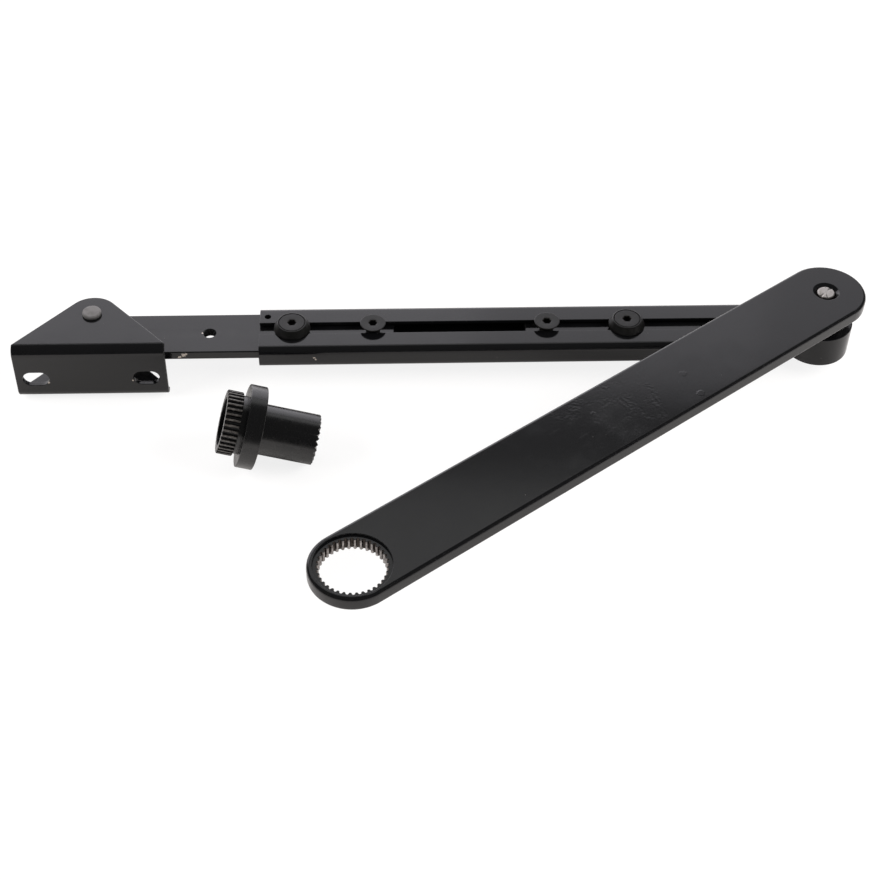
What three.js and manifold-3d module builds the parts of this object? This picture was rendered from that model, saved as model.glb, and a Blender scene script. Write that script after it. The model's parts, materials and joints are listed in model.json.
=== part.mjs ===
// Gate opener arm: a splined drive arm, an elbow, an adjustable forearm and a shoe bracket, with the
// loose spindle adapter that goes into the drive arm's splined hole.
// Millimetres, +Z up along every pivot. The origin is the spline axis on the drive arm's underside.
// +X runs along the forearm, from the shoe bracket to the elbow.
import * as THREE from 'three';
import { mergeVertices } from 'three/addons/utils/BufferGeometryUtils.js';
import Module from 'manifold-3d';

const wasm = await Module();
wasm.setup();

// ---- Driving dimensions ----
const FIT_GAP = 0.3;      // radial clearance that touching pieces keep
const SEAT_GAP = 0.1;     // axial clearance between stacked faces
const CUT_MARGIN = 5;     // how far a cutter runs past the face it cuts
const FULL_TURN = 2 * Math.PI;

const ARM = { width: 50.8, thick: 9.5, centres: 376.5, heading: THREE.MathUtils.degToRad(36.2) };
const SPLINE = { teeth: 36, tipR: 18.7, rootR: 20.2, land: 0.3, boreR: 22.1, boreDepth: 1.6 };
const PIN = { tipR: 5.7, tipDrop: 0.6, sinkR: 8.35, shankR: 8, grooveR: 7, grooveLength: 1.4 };
const BOSS = { r: 21, height: 22, gapToArm: 14.1, boreR: 10.3, pocketR: 14.5, pocketDepth: 6.2 };
const BUSH = { sleeveR: 10, flangeR: 13, flange: 1.5 };
const COLLAR_R = 13;
const WASHER = { r: 13.5, thick: 1 };
const RING = { r: 10.5, thick: 1, mouth: 6 };

const BAR = { width: 36, thick: 6, top: -20.2, pivotToEnd: 192, clampAt: 126.3, guideAt: 178.3, spareAt: 73 };
const BAR_HOLE_R = 4.3;
const BAR_PIVOT_R = 7.3;

const CHANNEL = { width: 42, height: 15.4, base: -32.1, wall: 2.5, bendR: 4.5, length: 317.5, slot: 10 };
const CHANNEL_START = 105.2;                 // from the shoe pivot to the channel's open end
const LIP_HOLE = { r: 2, fromEnd: 5.2, y: 11.2 };

const SCREW = { headR: 8.2, rim: 0.5, shankR: 4, socketAcross: 5, socketDepth: 3.2 };
const GUIDE_RISE = 4.0;                      // a guide screw's head above the channel
const CUP = { baseR: 11.8, topR: 8.9, height: 5, rim: 0.6, holeR: 4.6 };

const SHOE_PIVOT_TO_ELBOW = 469;
const SHOE = {
  width: 95.2, height: 41.2, top: -2.9, plate: 3.2, bendR: 6.4, face: 33.6, apexR: 16.5, square: 6,
};
const SHOE_SLOT = { length: 16.6, height: 10.8, offset: 34.7, z: -27.4 };
const RIVET = { shankR: 4.7, headR: 6.1, headHeight: 2.7, tailHeight: 2.2 };
const SPACER_R = 9;
const SHOE_BORE_R = RIVET.shankR + FIT_GAP;

const ADAPTER = {
  splineR: 19.8, splineRootR: 18.2, splineLength: 9.7, neckR: 18, neck: 3.2, flangeR: 25.8, flange: 10.4,
  shaftR: 15.7, shaft: 35.8, boreR: 6.6, pocketR: 15, pocketDepth: 20,
};
const CROWN = { teeth: 26, depth: 2.2, fullness: 1.35 };
const ADAPTER_AT = { x: -79.6, y: 136.6, heading: THREE.MathUtils.degToRad(-1.5) };

// ---- Levels and places worked out from them ----
const BOSS_TOP = -BOSS.gapToArm;
const BOSS_BOTTOM = BOSS_TOP - BOSS.height;
const BAR_BOTTOM = BAR.top - BAR.thick;
const CHANNEL_TOP = CHANNEL.base + CHANNEL.height;
const SHOE_BOTTOM = SHOE.top - SHOE.height;
const FLOOR = SHOE_BOTTOM - RIVET.tailHeight;
const ELBOW = [ARM.centres * Math.cos(ARM.heading), ARM.centres * Math.sin(ARM.heading)];
const SHOE_PIVOT = [ELBOW[0] - SHOE_PIVOT_TO_ELBOW, ELBOW[1]];

// ---- Finishes ----
/** A plain material: its colour, roughness and metalness. */
function finish(color, roughness, metalness) {
  return new THREE.MeshStandardMaterial({ color, roughness, metalness });
}

const BLACK_COAT = finish(0x121214, 0.38, 0.1);
const BARE_STEEL = finish(0xb9b7b2, 0.35, 0.9);
const RIVET_STEEL = finish(0x8f8d8a, 0.45, 0.85);
const BLACK_SCREW = finish(0x1a1a1c, 0.45, 0.5);
const BLACK_OXIDE = finish(0x1f1f22, 0.3, 0.7);
const BRONZE = finish(0x9a7442, 0.5, 0.8);
const ZINC = finish(0xa9abac, 0.4, 0.85);

// ---- Solids ----
/** A closed geometry as a manifold solid, with its shared corners merged and its slivers dropped. */
function solid(geometry) {
  const bare = geometry.clone();
  bare.deleteAttribute('normal');
  bare.deleteAttribute('uv');
  const merged = mergeVertices(bare, 1e-4);
  const corners = merged.index.array;
  const kept = [];
  for (let i = 0; i < corners.length; i += 3) {
    const [a, b, c] = [corners[i], corners[i + 1], corners[i + 2]];
    if (a !== b && b !== c && c !== a) {
      kept.push(a, b, c);
    }
  }
  const vertProperties = new Float32Array(merged.attributes.position.array);
  return new wasm.Manifold(new wasm.Mesh({ numProp: 3, vertProperties, triVerts: new Uint32Array(kept) }));
}

/** A manifold solid back as a geometry. */
function toGeometry(manifold) {
  const mesh = manifold.getMesh();
  const geometry = new THREE.BufferGeometry();
  geometry.setAttribute('position', new THREE.BufferAttribute(new Float32Array(mesh.vertProperties), 3));
  geometry.setIndex(new THREE.BufferAttribute(new Uint32Array(mesh.triVerts), 1));
  geometry.computeVertexNormals();
  return geometry;
}

/** The first solid less all the others. */
function cut(body, ...tools) {
  return tools.reduce((rest, tool) => rest.subtract(tool), body);
}

/** An outline in X and Y, extruded from one level to another. */
function slab(shape, low, high, curveSegments = 16) {
  const settings = { depth: high - low, bevelEnabled: false, curveSegments };
  const geometry = new THREE.ExtrudeGeometry(shape, settings);
  return solid(geometry.translate(0, 0, low));
}

/** An outline in Y and Z, extruded along X from one place to another. */
function section(shape, start, end, curveSegments = 5) {
  const settings = { depth: end - start, bevelEnabled: false, curveSegments };
  const geometry = new THREE.ExtrudeGeometry(shape, settings);
  const axes = [new THREE.Vector3(0, 1, 0), new THREE.Vector3(0, 0, 1), new THREE.Vector3(1, 0, 0)];
  return solid(geometry.applyMatrix4(new THREE.Matrix4().makeBasis(...axes)).translate(start, 0, 0));
}

/** A profile of [radius, height] pairs, listed anticlockwise, turned about the Z axis. */
function turned(profile, sides = 32) {
  const points = profile.map(([r, z]) => new THREE.Vector2(r, z));
  return solid(new THREE.LatheGeometry(points, sides).rotateX(Math.PI / 2));
}

/** A tube or ring between two radii and two levels. */
function ring(innerR, outerR, low, high, sides = 28) {
  return turned([[innerR, low], [outerR, low], [outerR, high], [innerR, high], [innerR, low]], sides);
}

/** A plain round bar along Z, used to cut round holes. */
function rod(r, low, high, sides = 28) {
  return turned([[0, low], [r, low], [r, high], [0, high]], sides);
}

/** A closed outline through the points given. */
function outline(points) {
  return new THREE.Shape(points.map(([x, y]) => new THREE.Vector2(x, y)));
}

/** A toothed outline: tooth tips at one radius and gaps at another, with straight flanks. */
function toothed(teeth, tipR, rootR, land) {
  const pitch = FULL_TURN / teeth;
  const top = land * pitch;
  const flank = (0.5 - land) * pitch;
  const stops = [[tipR, 0], [tipR, top], [rootR, top + flank], [rootR, 2 * top + flank]];
  const corners = [];
  for (let i = 0; i < teeth; i += 1) {
    const start = i * pitch;
    for (const [r, turn] of stops) {
      corners.push([r * Math.cos(start + turn), r * Math.sin(start + turn)]);
    }
  }
  return outline(corners);
}

// ---- Drive arm and elbow ----
/** Flat bar with round ends, an internal spline at one end and a countersunk pin hole at the other. */
function driveArm() {
  const r = ARM.width / 2;
  const shape = new THREE.Shape();
  shape.absarc(0, 0, r, Math.PI / 2, 1.5 * Math.PI, false);
  shape.absarc(ARM.centres, 0, r, 1.5 * Math.PI, 2.5 * Math.PI, false);
  const plate = slab(shape, 0, ARM.thick, 24);
  const spline = toothed(SPLINE.teeth, SPLINE.tipR, SPLINE.rootR, SPLINE.land);
  const hole = slab(spline, -CUT_MARGIN, ARM.thick + CUT_MARGIN);
  const counterbore = rod(SPLINE.boreR, ARM.thick - SPLINE.boreDepth, ARM.thick + CUT_MARGIN, 48);
  const pinHoleR = PIN.tipR + FIT_GAP;
  const sinkDepth = PIN.sinkR - pinHoleR;
  const pinHole = turned([
    [0, -CUT_MARGIN], [pinHoleR, -CUT_MARGIN], [pinHoleR, ARM.thick - sinkDepth], [PIN.sinkR, ARM.thick],
    [PIN.sinkR, ARM.thick + CUT_MARGIN], [0, ARM.thick + CUT_MARGIN],
  ]).translate([ARM.centres, 0, 0]);
  return cut(plate, hole, counterbore, pinHole).rotate([0, 0, THREE.MathUtils.radToDeg(ARM.heading)]);
}

const POCKET_TOP = BOSS_BOTTOM + BOSS.pocketDepth;
const LOWER_FLANGE_BOTTOM = POCKET_TOP - SEAT_GAP - BUSH.flange;
const WASHER_BOTTOM = LOWER_FLANGE_BOTTOM - SEAT_GAP - WASHER.thick;
const RING_BOTTOM = WASHER_BOTTOM - SEAT_GAP - RING.thick;
const UPPER_FLANGE_TOP = BOSS_TOP + SEAT_GAP + BUSH.flange;

/** Stepped pin: its thin end fills the arm's hole and its shank carries the bushes and a ring groove. */
function elbowPin() {
  const top = ARM.thick - PIN.tipDrop;
  const grooveLow = RING_BOTTOM - (PIN.grooveLength - RING.thick) / 2;
  const bottom = BOSS_BOTTOM + 0.6;
  return turned([
    [0, bottom], [PIN.shankR - 0.8, bottom], [PIN.shankR, bottom + 0.8], [PIN.shankR, grooveLow],
    [PIN.grooveR, grooveLow], [PIN.grooveR, grooveLow + PIN.grooveLength],
    [PIN.shankR, grooveLow + PIN.grooveLength], [PIN.shankR, -SEAT_GAP], [PIN.tipR, -SEAT_GAP],
    [PIN.tipR, top - 0.4], [PIN.tipR - 0.4, top], [0, top],
  ]);
}

/** Collar that holds the boss clear of the arm. */
function elbowCollar() {
  return ring(PIN.shankR + FIT_GAP, COLLAR_R, UPPER_FLANGE_TOP + SEAT_GAP, -SEAT_GAP);
}

/** Bush with a flange: the sleeve runs from one level to the other and the flange is at its outer end. */
function flangedBush(sleeveEnd, flangeStart, flangeEnd) {
  const flange = ring(PIN.shankR + FIT_GAP, BUSH.flangeR, Math.min(flangeStart, flangeEnd),
    Math.max(flangeStart, flangeEnd));
  const sleeve = ring(PIN.shankR + FIT_GAP, BUSH.sleeveR, Math.min(sleeveEnd, flangeEnd),
    Math.max(sleeveEnd, flangeEnd));
  return flange.add(sleeve);
}

/** Open ring that snaps into the pin's groove. */
function retainingRing() {
  const shape = new THREE.Shape();
  const gapAngle = Math.asin(RING.mouth / 2 / RING.r);
  shape.absarc(0, 0, RING.r, gapAngle, FULL_TURN - gapAngle, false);
  shape.absarc(0, 0, PIN.grooveR + FIT_GAP, FULL_TURN - gapAngle, gapAngle, true);
  return slab(shape, RING_BOTTOM, RING_BOTTOM + RING.thick, 18);
}

/** Round boss that the elbow bar is welded to, with a pocket under it for the pin's ring. */
function elbowBoss() {
  const edge = 0.8;
  return turned([
    [BOSS.boreR, POCKET_TOP], [BOSS.pocketR, POCKET_TOP], [BOSS.pocketR, BOSS_BOTTOM],
    [BOSS.r - edge, BOSS_BOTTOM], [BOSS.r, BOSS_BOTTOM + edge], [BOSS.r, BOSS_TOP - edge],
    [BOSS.r - edge, BOSS_TOP], [BOSS.boreR, BOSS_TOP], [BOSS.boreR, POCKET_TOP],
  ], 48);
}

// ---- Forearm ----
/** The three tapped holes that both bars have, at their distances along X from the pivot. */
function barHoles(direction) {
  const places = [BAR.clampAt, BAR.guideAt, BAR.spareAt];
  return places.map((along) => {
    const hole = rod(BAR_HOLE_R, BAR_BOTTOM - CUT_MARGIN, BAR.top + CUT_MARGIN, 20);
    return hole.translate([direction * along, 0, 0]);
  });
}

/** Flat bar that starts against the elbow boss. */
function elbowBar() {
  const half = BAR.width / 2;
  const blank = slab(outline([[-BAR.pivotToEnd, -half], [0, -half], [0, half], [-BAR.pivotToEnd, half]]),
    BAR_BOTTOM, BAR.top);
  const coping = rod(BOSS.r + FIT_GAP, BAR_BOTTOM - CUT_MARGIN, BAR.top + CUT_MARGIN, 48);
  return cut(blank, coping, ...barHoles(-1));
}

/** The same bar at the shoe, with a round end about its pivot hole. */
function shoeBar() {
  const half = BAR.width / 2;
  const shape = new THREE.Shape();
  shape.absarc(0, 0, half, Math.PI / 2, 1.5 * Math.PI, false);
  shape.lineTo(BAR.pivotToEnd, -half);
  shape.lineTo(BAR.pivotToEnd, half);
  const pivotHole = rod(BAR_PIVOT_R, BAR_BOTTOM - CUT_MARGIN, BAR.top + CUT_MARGIN, 28);
  return cut(slab(shape, BAR_BOTTOM, BAR.top, 32), pivotHole, ...barHoles(1));
}

/** Lipped channel that both bars slide in, open along its top and at both ends. */
function adjustingChannel() {
  const { width, height, wall, bendR, length, slot } = CHANNEL;
  const half = width / 2;
  const innerR = bendR - wall;
  const cornerY = half - bendR;
  const highZ = height - bendR;
  const shape = new THREE.Shape();
  shape.moveTo(slot / 2, height);
  shape.absarc(cornerY, highZ, bendR, Math.PI / 2, 0, true);
  shape.absarc(cornerY, bendR, bendR, 0, -Math.PI / 2, true);
  shape.absarc(-cornerY, bendR, bendR, 1.5 * Math.PI, Math.PI, true);
  shape.absarc(-cornerY, highZ, bendR, Math.PI, Math.PI / 2, true);
  shape.lineTo(-slot / 2, height);
  shape.lineTo(-slot / 2, height - wall);
  shape.absarc(-cornerY, highZ, innerR, Math.PI / 2, Math.PI, false);
  shape.absarc(-cornerY, bendR, innerR, Math.PI, 1.5 * Math.PI, false);
  shape.absarc(cornerY, bendR, innerR, -Math.PI / 2, 0, false);
  shape.absarc(cornerY, highZ, innerR, 0, Math.PI / 2, false);
  shape.lineTo(slot / 2, height - wall);
  const body = section(shape, 0, length).translate([0, 0, CHANNEL.base]);
  const lipHole = rod(LIP_HOLE.r, CHANNEL_TOP - wall - 1, CHANNEL_TOP + CUT_MARGIN, 20);
  return cut(body, lipHole.translate([LIP_HOLE.fromEnd, LIP_HOLE.y, 0]));
}

// ---- Screws ----
/** Countersunk hex-socket screw with its head's top face at the level given. */
function countersunkScrew(top) {
  const { headR, rim, shankR, socketAcross, socketDepth } = SCREW;
  const bottom = BAR_BOTTOM - 0.8;
  const neck = top - rim - (headR - shankR);
  const body = turned([
    [0, bottom], [shankR - 0.6, bottom], [shankR, bottom + 0.6], [shankR, neck], [headR, top - rim],
    [headR, top - 0.2], [headR - 0.2, top], [0, top],
  ], 28);
  const socketR = socketAcross / Math.sqrt(3);
  const socket = new THREE.CylinderGeometry(socketR, socketR, 2 * socketDepth, 6);
  return cut(body, solid(socket.rotateX(Math.PI / 2)).translate([0, 0, top]));
}

/** Turned cup washer: a cone outside and a countersunk seat inside, resting on the channel's lips. */
function cupWasher() {
  const low = CHANNEL_TOP + SEAT_GAP;
  const high = CHANNEL_TOP + CUP.height;
  const seatR = SCREW.headR + FIT_GAP;
  const seatLow = high - SCREW.rim - (seatR - CUP.holeR);
  return turned([
    [CUP.holeR, low], [CUP.baseR, low], [CUP.baseR, low + CUP.rim], [CUP.topR, high], [seatR, high],
    [seatR, high - SCREW.rim], [CUP.holeR, seatLow], [CUP.holeR, low],
  ], 32);
}

// ---- Shoe ----
/** Plan outline of the shoe: square ends at the face, then straight sides to a round apex at the pivot. */
function shoePlan() {
  const half = SHOE.width / 2;
  const cornerY = -SHOE.face + SHOE.square;
  const reach = Math.hypot(half, cornerY);
  const tangent = Math.atan2(cornerY, half) + Math.acos(SHOE.apexR / reach);
  const shape = new THREE.Shape();
  shape.moveTo(-half, -SHOE.face - 1);
  shape.lineTo(half, -SHOE.face - 1);
  shape.lineTo(half, cornerY);
  shape.absarc(0, 0, SHOE.apexR, tangent, Math.PI - tangent, false);
  shape.lineTo(-half, cornerY);
  return shape;
}

/** Bent plate: two triangular cheeks joined by a face with two slots, pierced for the rivet. */
function shoeBracket() {
  const { plate, bendR, face, apexR, top } = SHOE;
  const back = apexR + 1;
  const innerR = bendR - plate;
  const bendY = bendR - face;
  const [highZ, lowZ] = [top - bendR, SHOE_BOTTOM + bendR];
  const shape = new THREE.Shape();
  shape.moveTo(back, top);
  shape.absarc(bendY, highZ, bendR, Math.PI / 2, Math.PI, false);
  shape.absarc(bendY, lowZ, bendR, Math.PI, 1.5 * Math.PI, false);
  shape.lineTo(back, SHOE_BOTTOM);
  shape.lineTo(back, SHOE_BOTTOM + plate);
  shape.absarc(bendY, lowZ, innerR, 1.5 * Math.PI, Math.PI, true);
  shape.absarc(bendY, highZ, innerR, Math.PI, Math.PI / 2, true);
  shape.lineTo(back, top - plate);
  const half = SHOE.width / 2;
  const bent = section(shape, -half - 1, half + 1, 8);
  const plan = slab(shoePlan(), SHOE_BOTTOM - CUT_MARGIN, top + CUT_MARGIN, 24);
  const bore = rod(SHOE_BORE_R, SHOE_BOTTOM - CUT_MARGIN, top + CUT_MARGIN);
  return cut(bent.intersect(plan), bore, ...[-1, 1].map(shoeSlot));
}

/** Cutter for one fixing slot, on the side given. */
function shoeSlot(side) {
  const r = SHOE_SLOT.height / 2;
  const half = SHOE_SLOT.length / 2 - r;
  const shape = new THREE.Shape();
  shape.absarc(-half, 0, r, Math.PI / 2, 1.5 * Math.PI, false);
  shape.absarc(half, 0, r, 1.5 * Math.PI, 2.5 * Math.PI, false);
  const cutter = slab(shape, -CUT_MARGIN, SHOE.plate + CUT_MARGIN, 12).rotate([90, 0, 0]);
  return cutter.translate([side * SHOE_SLOT.offset, -SHOE.face + SHOE.plate, SHOE_SLOT.z]);
}

/** Rivet through both cheeks, domed above and upset below. */
function shoeRivet() {
  const { shankR, headR, headHeight } = RIVET;
  const seat = SHOE.top + SEAT_GAP;
  const tail = SHOE_BOTTOM - SEAT_GAP;
  return turned([
    [0, FLOOR], [headR - 1.8, FLOOR], [headR, tail - 0.6], [headR, tail],
    [shankR, tail], [shankR, seat], [headR, seat], [headR, SHOE.top + headHeight - 0.9],
    [headR - 1, SHOE.top + headHeight - 0.1], [0, SHOE.top + headHeight],
  ], 28);
}

// ---- Spindle adapter ----
/** Cutters for a crown of V grooves across the end of a tube, each widening from the tube's axis. */
function crownCutters(r, end) {
  const reach = r + 3;
  const halfWidth = (CROWN.fullness * Math.PI * reach) / CROWN.teeth;
  const depth = (CROWN.depth * reach) / r;
  const wedge = new THREE.ConeGeometry(1, reach, 3).scale(halfWidth / Math.sin(Math.PI / 3), 1, depth);
  const groove = solid(wedge.rotateY(Math.PI).rotateZ(Math.PI / 2).translate(reach / 2, 0, end));
  return Array.from({ length: CROWN.teeth }, (_, i) => groove.rotate([0, 0, (i * 360) / CROWN.teeth]));
}

/** Stepped sleeve: outer spline, neck, flange and shaft with a crown of V teeth, bored right through. */
function spindleAdapter() {
  const a = ADAPTER;
  const neckEnd = a.splineLength + a.neck;
  const flangeEnd = neckEnd + a.flange;
  const end = flangeEnd + a.shaft;
  const edge = 0.7;
  const body = turned([
    [a.boreR, a.pocketDepth], [a.pocketR, a.pocketDepth], [a.pocketR, a.splineLength - 1],
    [a.neckR, a.splineLength - 1], [a.neckR, neckEnd], [a.flangeR - edge, neckEnd],
    [a.flangeR, neckEnd + edge],
    [a.flangeR, flangeEnd - edge], [a.flangeR - edge, flangeEnd], [a.shaftR, flangeEnd], [a.shaftR, end],
    [a.boreR, end], [a.boreR, a.pocketDepth],
  ], 48);
  const teeth = slab(toothed(SPLINE.teeth, a.splineR, a.splineRootR, SPLINE.land), 0, a.splineLength);
  const pocket = rod(a.pocketR, -CUT_MARGIN, a.splineLength + CUT_MARGIN, 48);
  return cut(body.add(teeth.subtract(pocket)), ...crownCutters(a.shaftR, end));
}

// ---- Assembly ----
const assembly = new THREE.Group();

/** A group at a place on the pivots' plane. */
function groupAt(x, y) {
  const group = new THREE.Group();
  group.position.set(x, y, 0);
  assembly.add(group);
  return group;
}

/** Adds a named piece to a group, at a distance along X from the group's pivot. */
function add(group, name, manifold, material, x = 0) {
  const mesh = new THREE.Mesh(toGeometry(manifold), material);
  mesh.name = name;
  mesh.position.x = x;
  group.add(mesh);
}

const hub = groupAt(0, 0);
add(hub, 'drive_arm', driveArm(), BLACK_COAT);

const elbow = groupAt(...ELBOW);
add(elbow, 'elbow_pin', elbowPin(), BARE_STEEL);
add(elbow, 'elbow_collar', elbowCollar(), BLACK_COAT);
const thrustWasher = ring(PIN.shankR + FIT_GAP, WASHER.r, WASHER_BOTTOM, WASHER_BOTTOM + WASHER.thick);
add(elbow, 'elbow_thrust_washer', thrustWasher, ZINC);
add(elbow, 'elbow_retaining_ring', retainingRing(), ZINC);
add(elbow, 'elbow_boss', elbowBoss(), BLACK_COAT);
const bushMeet = (BOSS_TOP + POCKET_TOP) / 2;
const upperBush = flangedBush(bushMeet + FIT_GAP, UPPER_FLANGE_TOP, BOSS_TOP + SEAT_GAP);
const lowerBush = flangedBush(bushMeet, LOWER_FLANGE_BOTTOM, POCKET_TOP - SEAT_GAP);
add(elbow, 'upper_elbow_bush', upperBush, BRONZE);
add(elbow, 'lower_elbow_bush', lowerBush, BRONZE);
add(elbow, 'elbow_bar', elbowBar(), BLACK_COAT);

const shoe = groupAt(...SHOE_PIVOT);
add(shoe, 'adjusting_channel', adjustingChannel(), BLACK_COAT, CHANNEL_START);
add(shoe, 'shoe_bar', shoeBar(), BLACK_COAT);

const clampTop = CHANNEL_TOP + CUP.height;
const guideTop = CHANNEL_TOP + GUIDE_RISE;
for (const [end, group, direction] of [['elbow', elbow, -1], ['shoe', shoe, 1]]) {
  add(group, `${end}_cup_washer`, cupWasher(), BLACK_SCREW, direction * BAR.clampAt);
  add(group, `${end}_clamp_screw`, countersunkScrew(clampTop), BLACK_SCREW, direction * BAR.clampAt);
  add(group, `${end}_guide_screw`, countersunkScrew(guideTop), BLACK_SCREW, direction * BAR.guideAt);
}

const lowerCheek = SHOE_BOTTOM + SHOE.plate + SEAT_GAP;
const upperCheek = SHOE.top - SHOE.plate - SEAT_GAP;
const upperSpacer = ring(SHOE_BORE_R, SPACER_R, BAR.top + SEAT_GAP, upperCheek);
const lowerSpacer = ring(SHOE_BORE_R, SPACER_R, lowerCheek, BAR_BOTTOM - SEAT_GAP);
add(shoe, 'shoe_bracket', shoeBracket(), BLACK_COAT);
add(shoe, 'shoe_rivet', shoeRivet(), RIVET_STEEL);
add(shoe, 'shoe_pivot_bush', ring(SHOE_BORE_R, BAR_PIVOT_R - FIT_GAP, BAR_BOTTOM, BAR.top), BRONZE);
add(shoe, 'upper_shoe_spacer', upperSpacer, ZINC);
add(shoe, 'lower_shoe_spacer', lowerSpacer, ZINC);

// The adapter lies on its flange's rim and on the end of its shaft.
const tilt = Math.atan2(ADAPTER.flangeR - ADAPTER.shaftR, ADAPTER.shaft);
const flangeEnd = ADAPTER.splineLength + ADAPTER.neck + ADAPTER.flange;
const lying = groupAt(ADAPTER_AT.x, ADAPTER_AT.y);
lying.position.z = FLOOR + ADAPTER.flangeR * Math.cos(tilt) + flangeEnd * Math.sin(tilt);
lying.rotation.z = ADAPTER_AT.heading;
const nose = new THREE.Group();
nose.rotation.y = Math.PI / 2 + tilt;
lying.add(nose);
add(nose, 'spindle_adapter', spindleAdapter(), BLACK_OXIDE);

export default assembly;
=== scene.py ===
"""A folding gate opener arm: fine meshes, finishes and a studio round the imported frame.

Every piece of the frame gets a finer mesh of its own, with rounded edges, teeth, threads and bends, and
a finish that is worked out from the surface. Lengths are in metres and Z is up along every pivot.
"""

import json
import logging
import math
from collections.abc import Callable, Iterable, Sequence
from dataclasses import dataclass, field
from enum import Enum

import bmesh
import bpy
from mathutils import Matrix, Vector
from mathutils.geometry import tessellate_polygon


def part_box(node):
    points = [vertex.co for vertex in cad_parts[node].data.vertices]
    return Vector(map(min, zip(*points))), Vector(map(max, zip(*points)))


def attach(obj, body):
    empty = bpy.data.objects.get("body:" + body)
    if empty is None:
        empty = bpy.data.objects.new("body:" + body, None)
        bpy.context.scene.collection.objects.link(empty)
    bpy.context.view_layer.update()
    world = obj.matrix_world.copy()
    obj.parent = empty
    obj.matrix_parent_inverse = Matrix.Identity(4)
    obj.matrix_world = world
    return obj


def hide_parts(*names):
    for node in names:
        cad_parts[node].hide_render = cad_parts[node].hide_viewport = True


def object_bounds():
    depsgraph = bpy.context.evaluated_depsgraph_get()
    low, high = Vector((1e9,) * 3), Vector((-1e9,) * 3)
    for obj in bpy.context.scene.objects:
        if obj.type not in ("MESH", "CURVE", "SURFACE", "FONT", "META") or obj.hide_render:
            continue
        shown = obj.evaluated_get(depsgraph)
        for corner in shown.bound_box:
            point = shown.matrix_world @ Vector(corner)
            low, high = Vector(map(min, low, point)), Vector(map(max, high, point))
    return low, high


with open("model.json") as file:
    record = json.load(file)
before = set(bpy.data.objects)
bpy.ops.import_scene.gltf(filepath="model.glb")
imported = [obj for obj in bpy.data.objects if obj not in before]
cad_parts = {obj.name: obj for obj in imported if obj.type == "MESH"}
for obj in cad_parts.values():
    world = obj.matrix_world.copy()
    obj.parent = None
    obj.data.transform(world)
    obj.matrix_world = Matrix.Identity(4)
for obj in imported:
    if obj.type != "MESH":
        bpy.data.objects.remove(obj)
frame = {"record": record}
cad_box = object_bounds()

LOG = logging.getLogger("gate_opener_arm")

MM = 0.001
MICRON = 1e-6
HALF_TURN = math.pi
QUARTER_TURN = math.pi / 2
FULL_TURN = 2 * math.pi
SHARP_ANGLE = math.radians(38)
OWN_PLACE = "own_place"
LONGEST_ROUNDING = 0.48

Pair = tuple[float, float]
Corner = tuple[float, float, float]
Loop = list[Vector]
Ring = list[bmesh.types.BMVert]
Colour = tuple[float, float, float]


# ---- Outlines and profiles ----
def softened(corners: Sequence[Corner], steps: int = 5) -> list[Pair]:
    """Rounds the corners of a closed outline.

    Args:
        corners: Each corner's two coordinates, then how far from it its rounding starts.
        steps: How many straight pieces one rounding is made of.

    Returns:
        The outline's points, in the order of its corners.
    """
    points: list[Pair] = []
    for index, (across, up, reach) in enumerate(corners):
        here = Vector((across, up))
        if reach <= 0:
            points.append((across, up))
            continue
        before = Vector(corners[index - 1][:2]) - here
        after = Vector(corners[(index + 1) % len(corners)][:2]) - here
        start = here + before.normalized() * min(reach, LONGEST_ROUNDING * before.length)
        end = here + after.normalized() * min(reach, LONGEST_ROUNDING * after.length)
        for step in range(steps + 1):
            share = step / steps
            point = start * (1 - share) ** 2 + here * 2 * share * (1 - share) + end * share**2
            points.append((point.x, point.y))
    return points


def circle(radius: float, level: float, sides: int, centre: Pair = (0.0, 0.0)) -> Loop:
    """Lays points round a level circle.

    Args:
        radius: The circle's radius.
        level: Its height.
        sides: How many points it has.
        centre: Where its middle is.

    Returns:
        The points, anticlockwise from above.
    """
    x, y = centre
    turns = (FULL_TURN * i / sides for i in range(sides))
    return [Vector((x + radius * math.cos(t), y + radius * math.sin(t), level)) for t in turns]


def round_hole(radius: float, centre: Pair, sides: int = 48) -> list[Pair]:
    """Gives the flat outline of a round hole."""
    return [(point.x, point.y) for point in circle(radius, 0.0, sides, centre)]


def arc(centre: Pair, radius: float, start: float, end: float, steps: int) -> list[Pair]:
    """Lays points along part of a circle.

    Args:
        centre: The circle's middle.
        radius: Its radius.
        start: The angle of the first point, in radians.
        end: The angle of the last point.
        steps: How many straight pieces join them.

    Returns:
        The points from the start to the end.
    """
    x, y = centre
    turns = (start + (end - start) * i / steps for i in range(steps + 1))
    return [(x + radius * math.cos(t), y + radius * math.sin(t)) for t in turns]


def stadium(half_length: float, radius: float, centre: Pair, steps: int) -> list[Pair]:
    """Draws a slot's outline: two half circles joined by straight sides.

    Args:
        half_length: From the slot's middle to the middle of either half circle.
        radius: The half circles' radius.
        centre: The slot's middle.
        steps: How many straight pieces a half circle is made of.

    Returns:
        The outline's points, anticlockwise.
    """
    right = arc((centre[0] + half_length, centre[1]), radius, -QUARTER_TURN, QUARTER_TURN, steps)
    left = arc((centre[0] - half_length, centre[1]), radius, QUARTER_TURN, 3 * QUARTER_TURN, steps)
    return right + left


def moved_in(points: Sequence[Pair], distance: float) -> list[Pair]:
    """Moves an anticlockwise outline towards its inside, or out of it if the distance is negative.

    Args:
        points: The outline's points.
        distance: How far each side moves.

    Returns:
        As many points as came in.
    """
    moved = []
    for index, (x, y) in enumerate(points):
        before = Vector((x, y)) - Vector(points[index - 1])
        after = Vector(points[(index + 1) % len(points)]) - Vector((x, y))
        first = Vector((-before.y, before.x)).normalized()
        second = Vector((-after.y, after.x)).normalized()
        shift = (first + second) * (distance / (1 + first.dot(second)))
        moved.append((x + shift.x, y + shift.y))
    return moved


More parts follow.
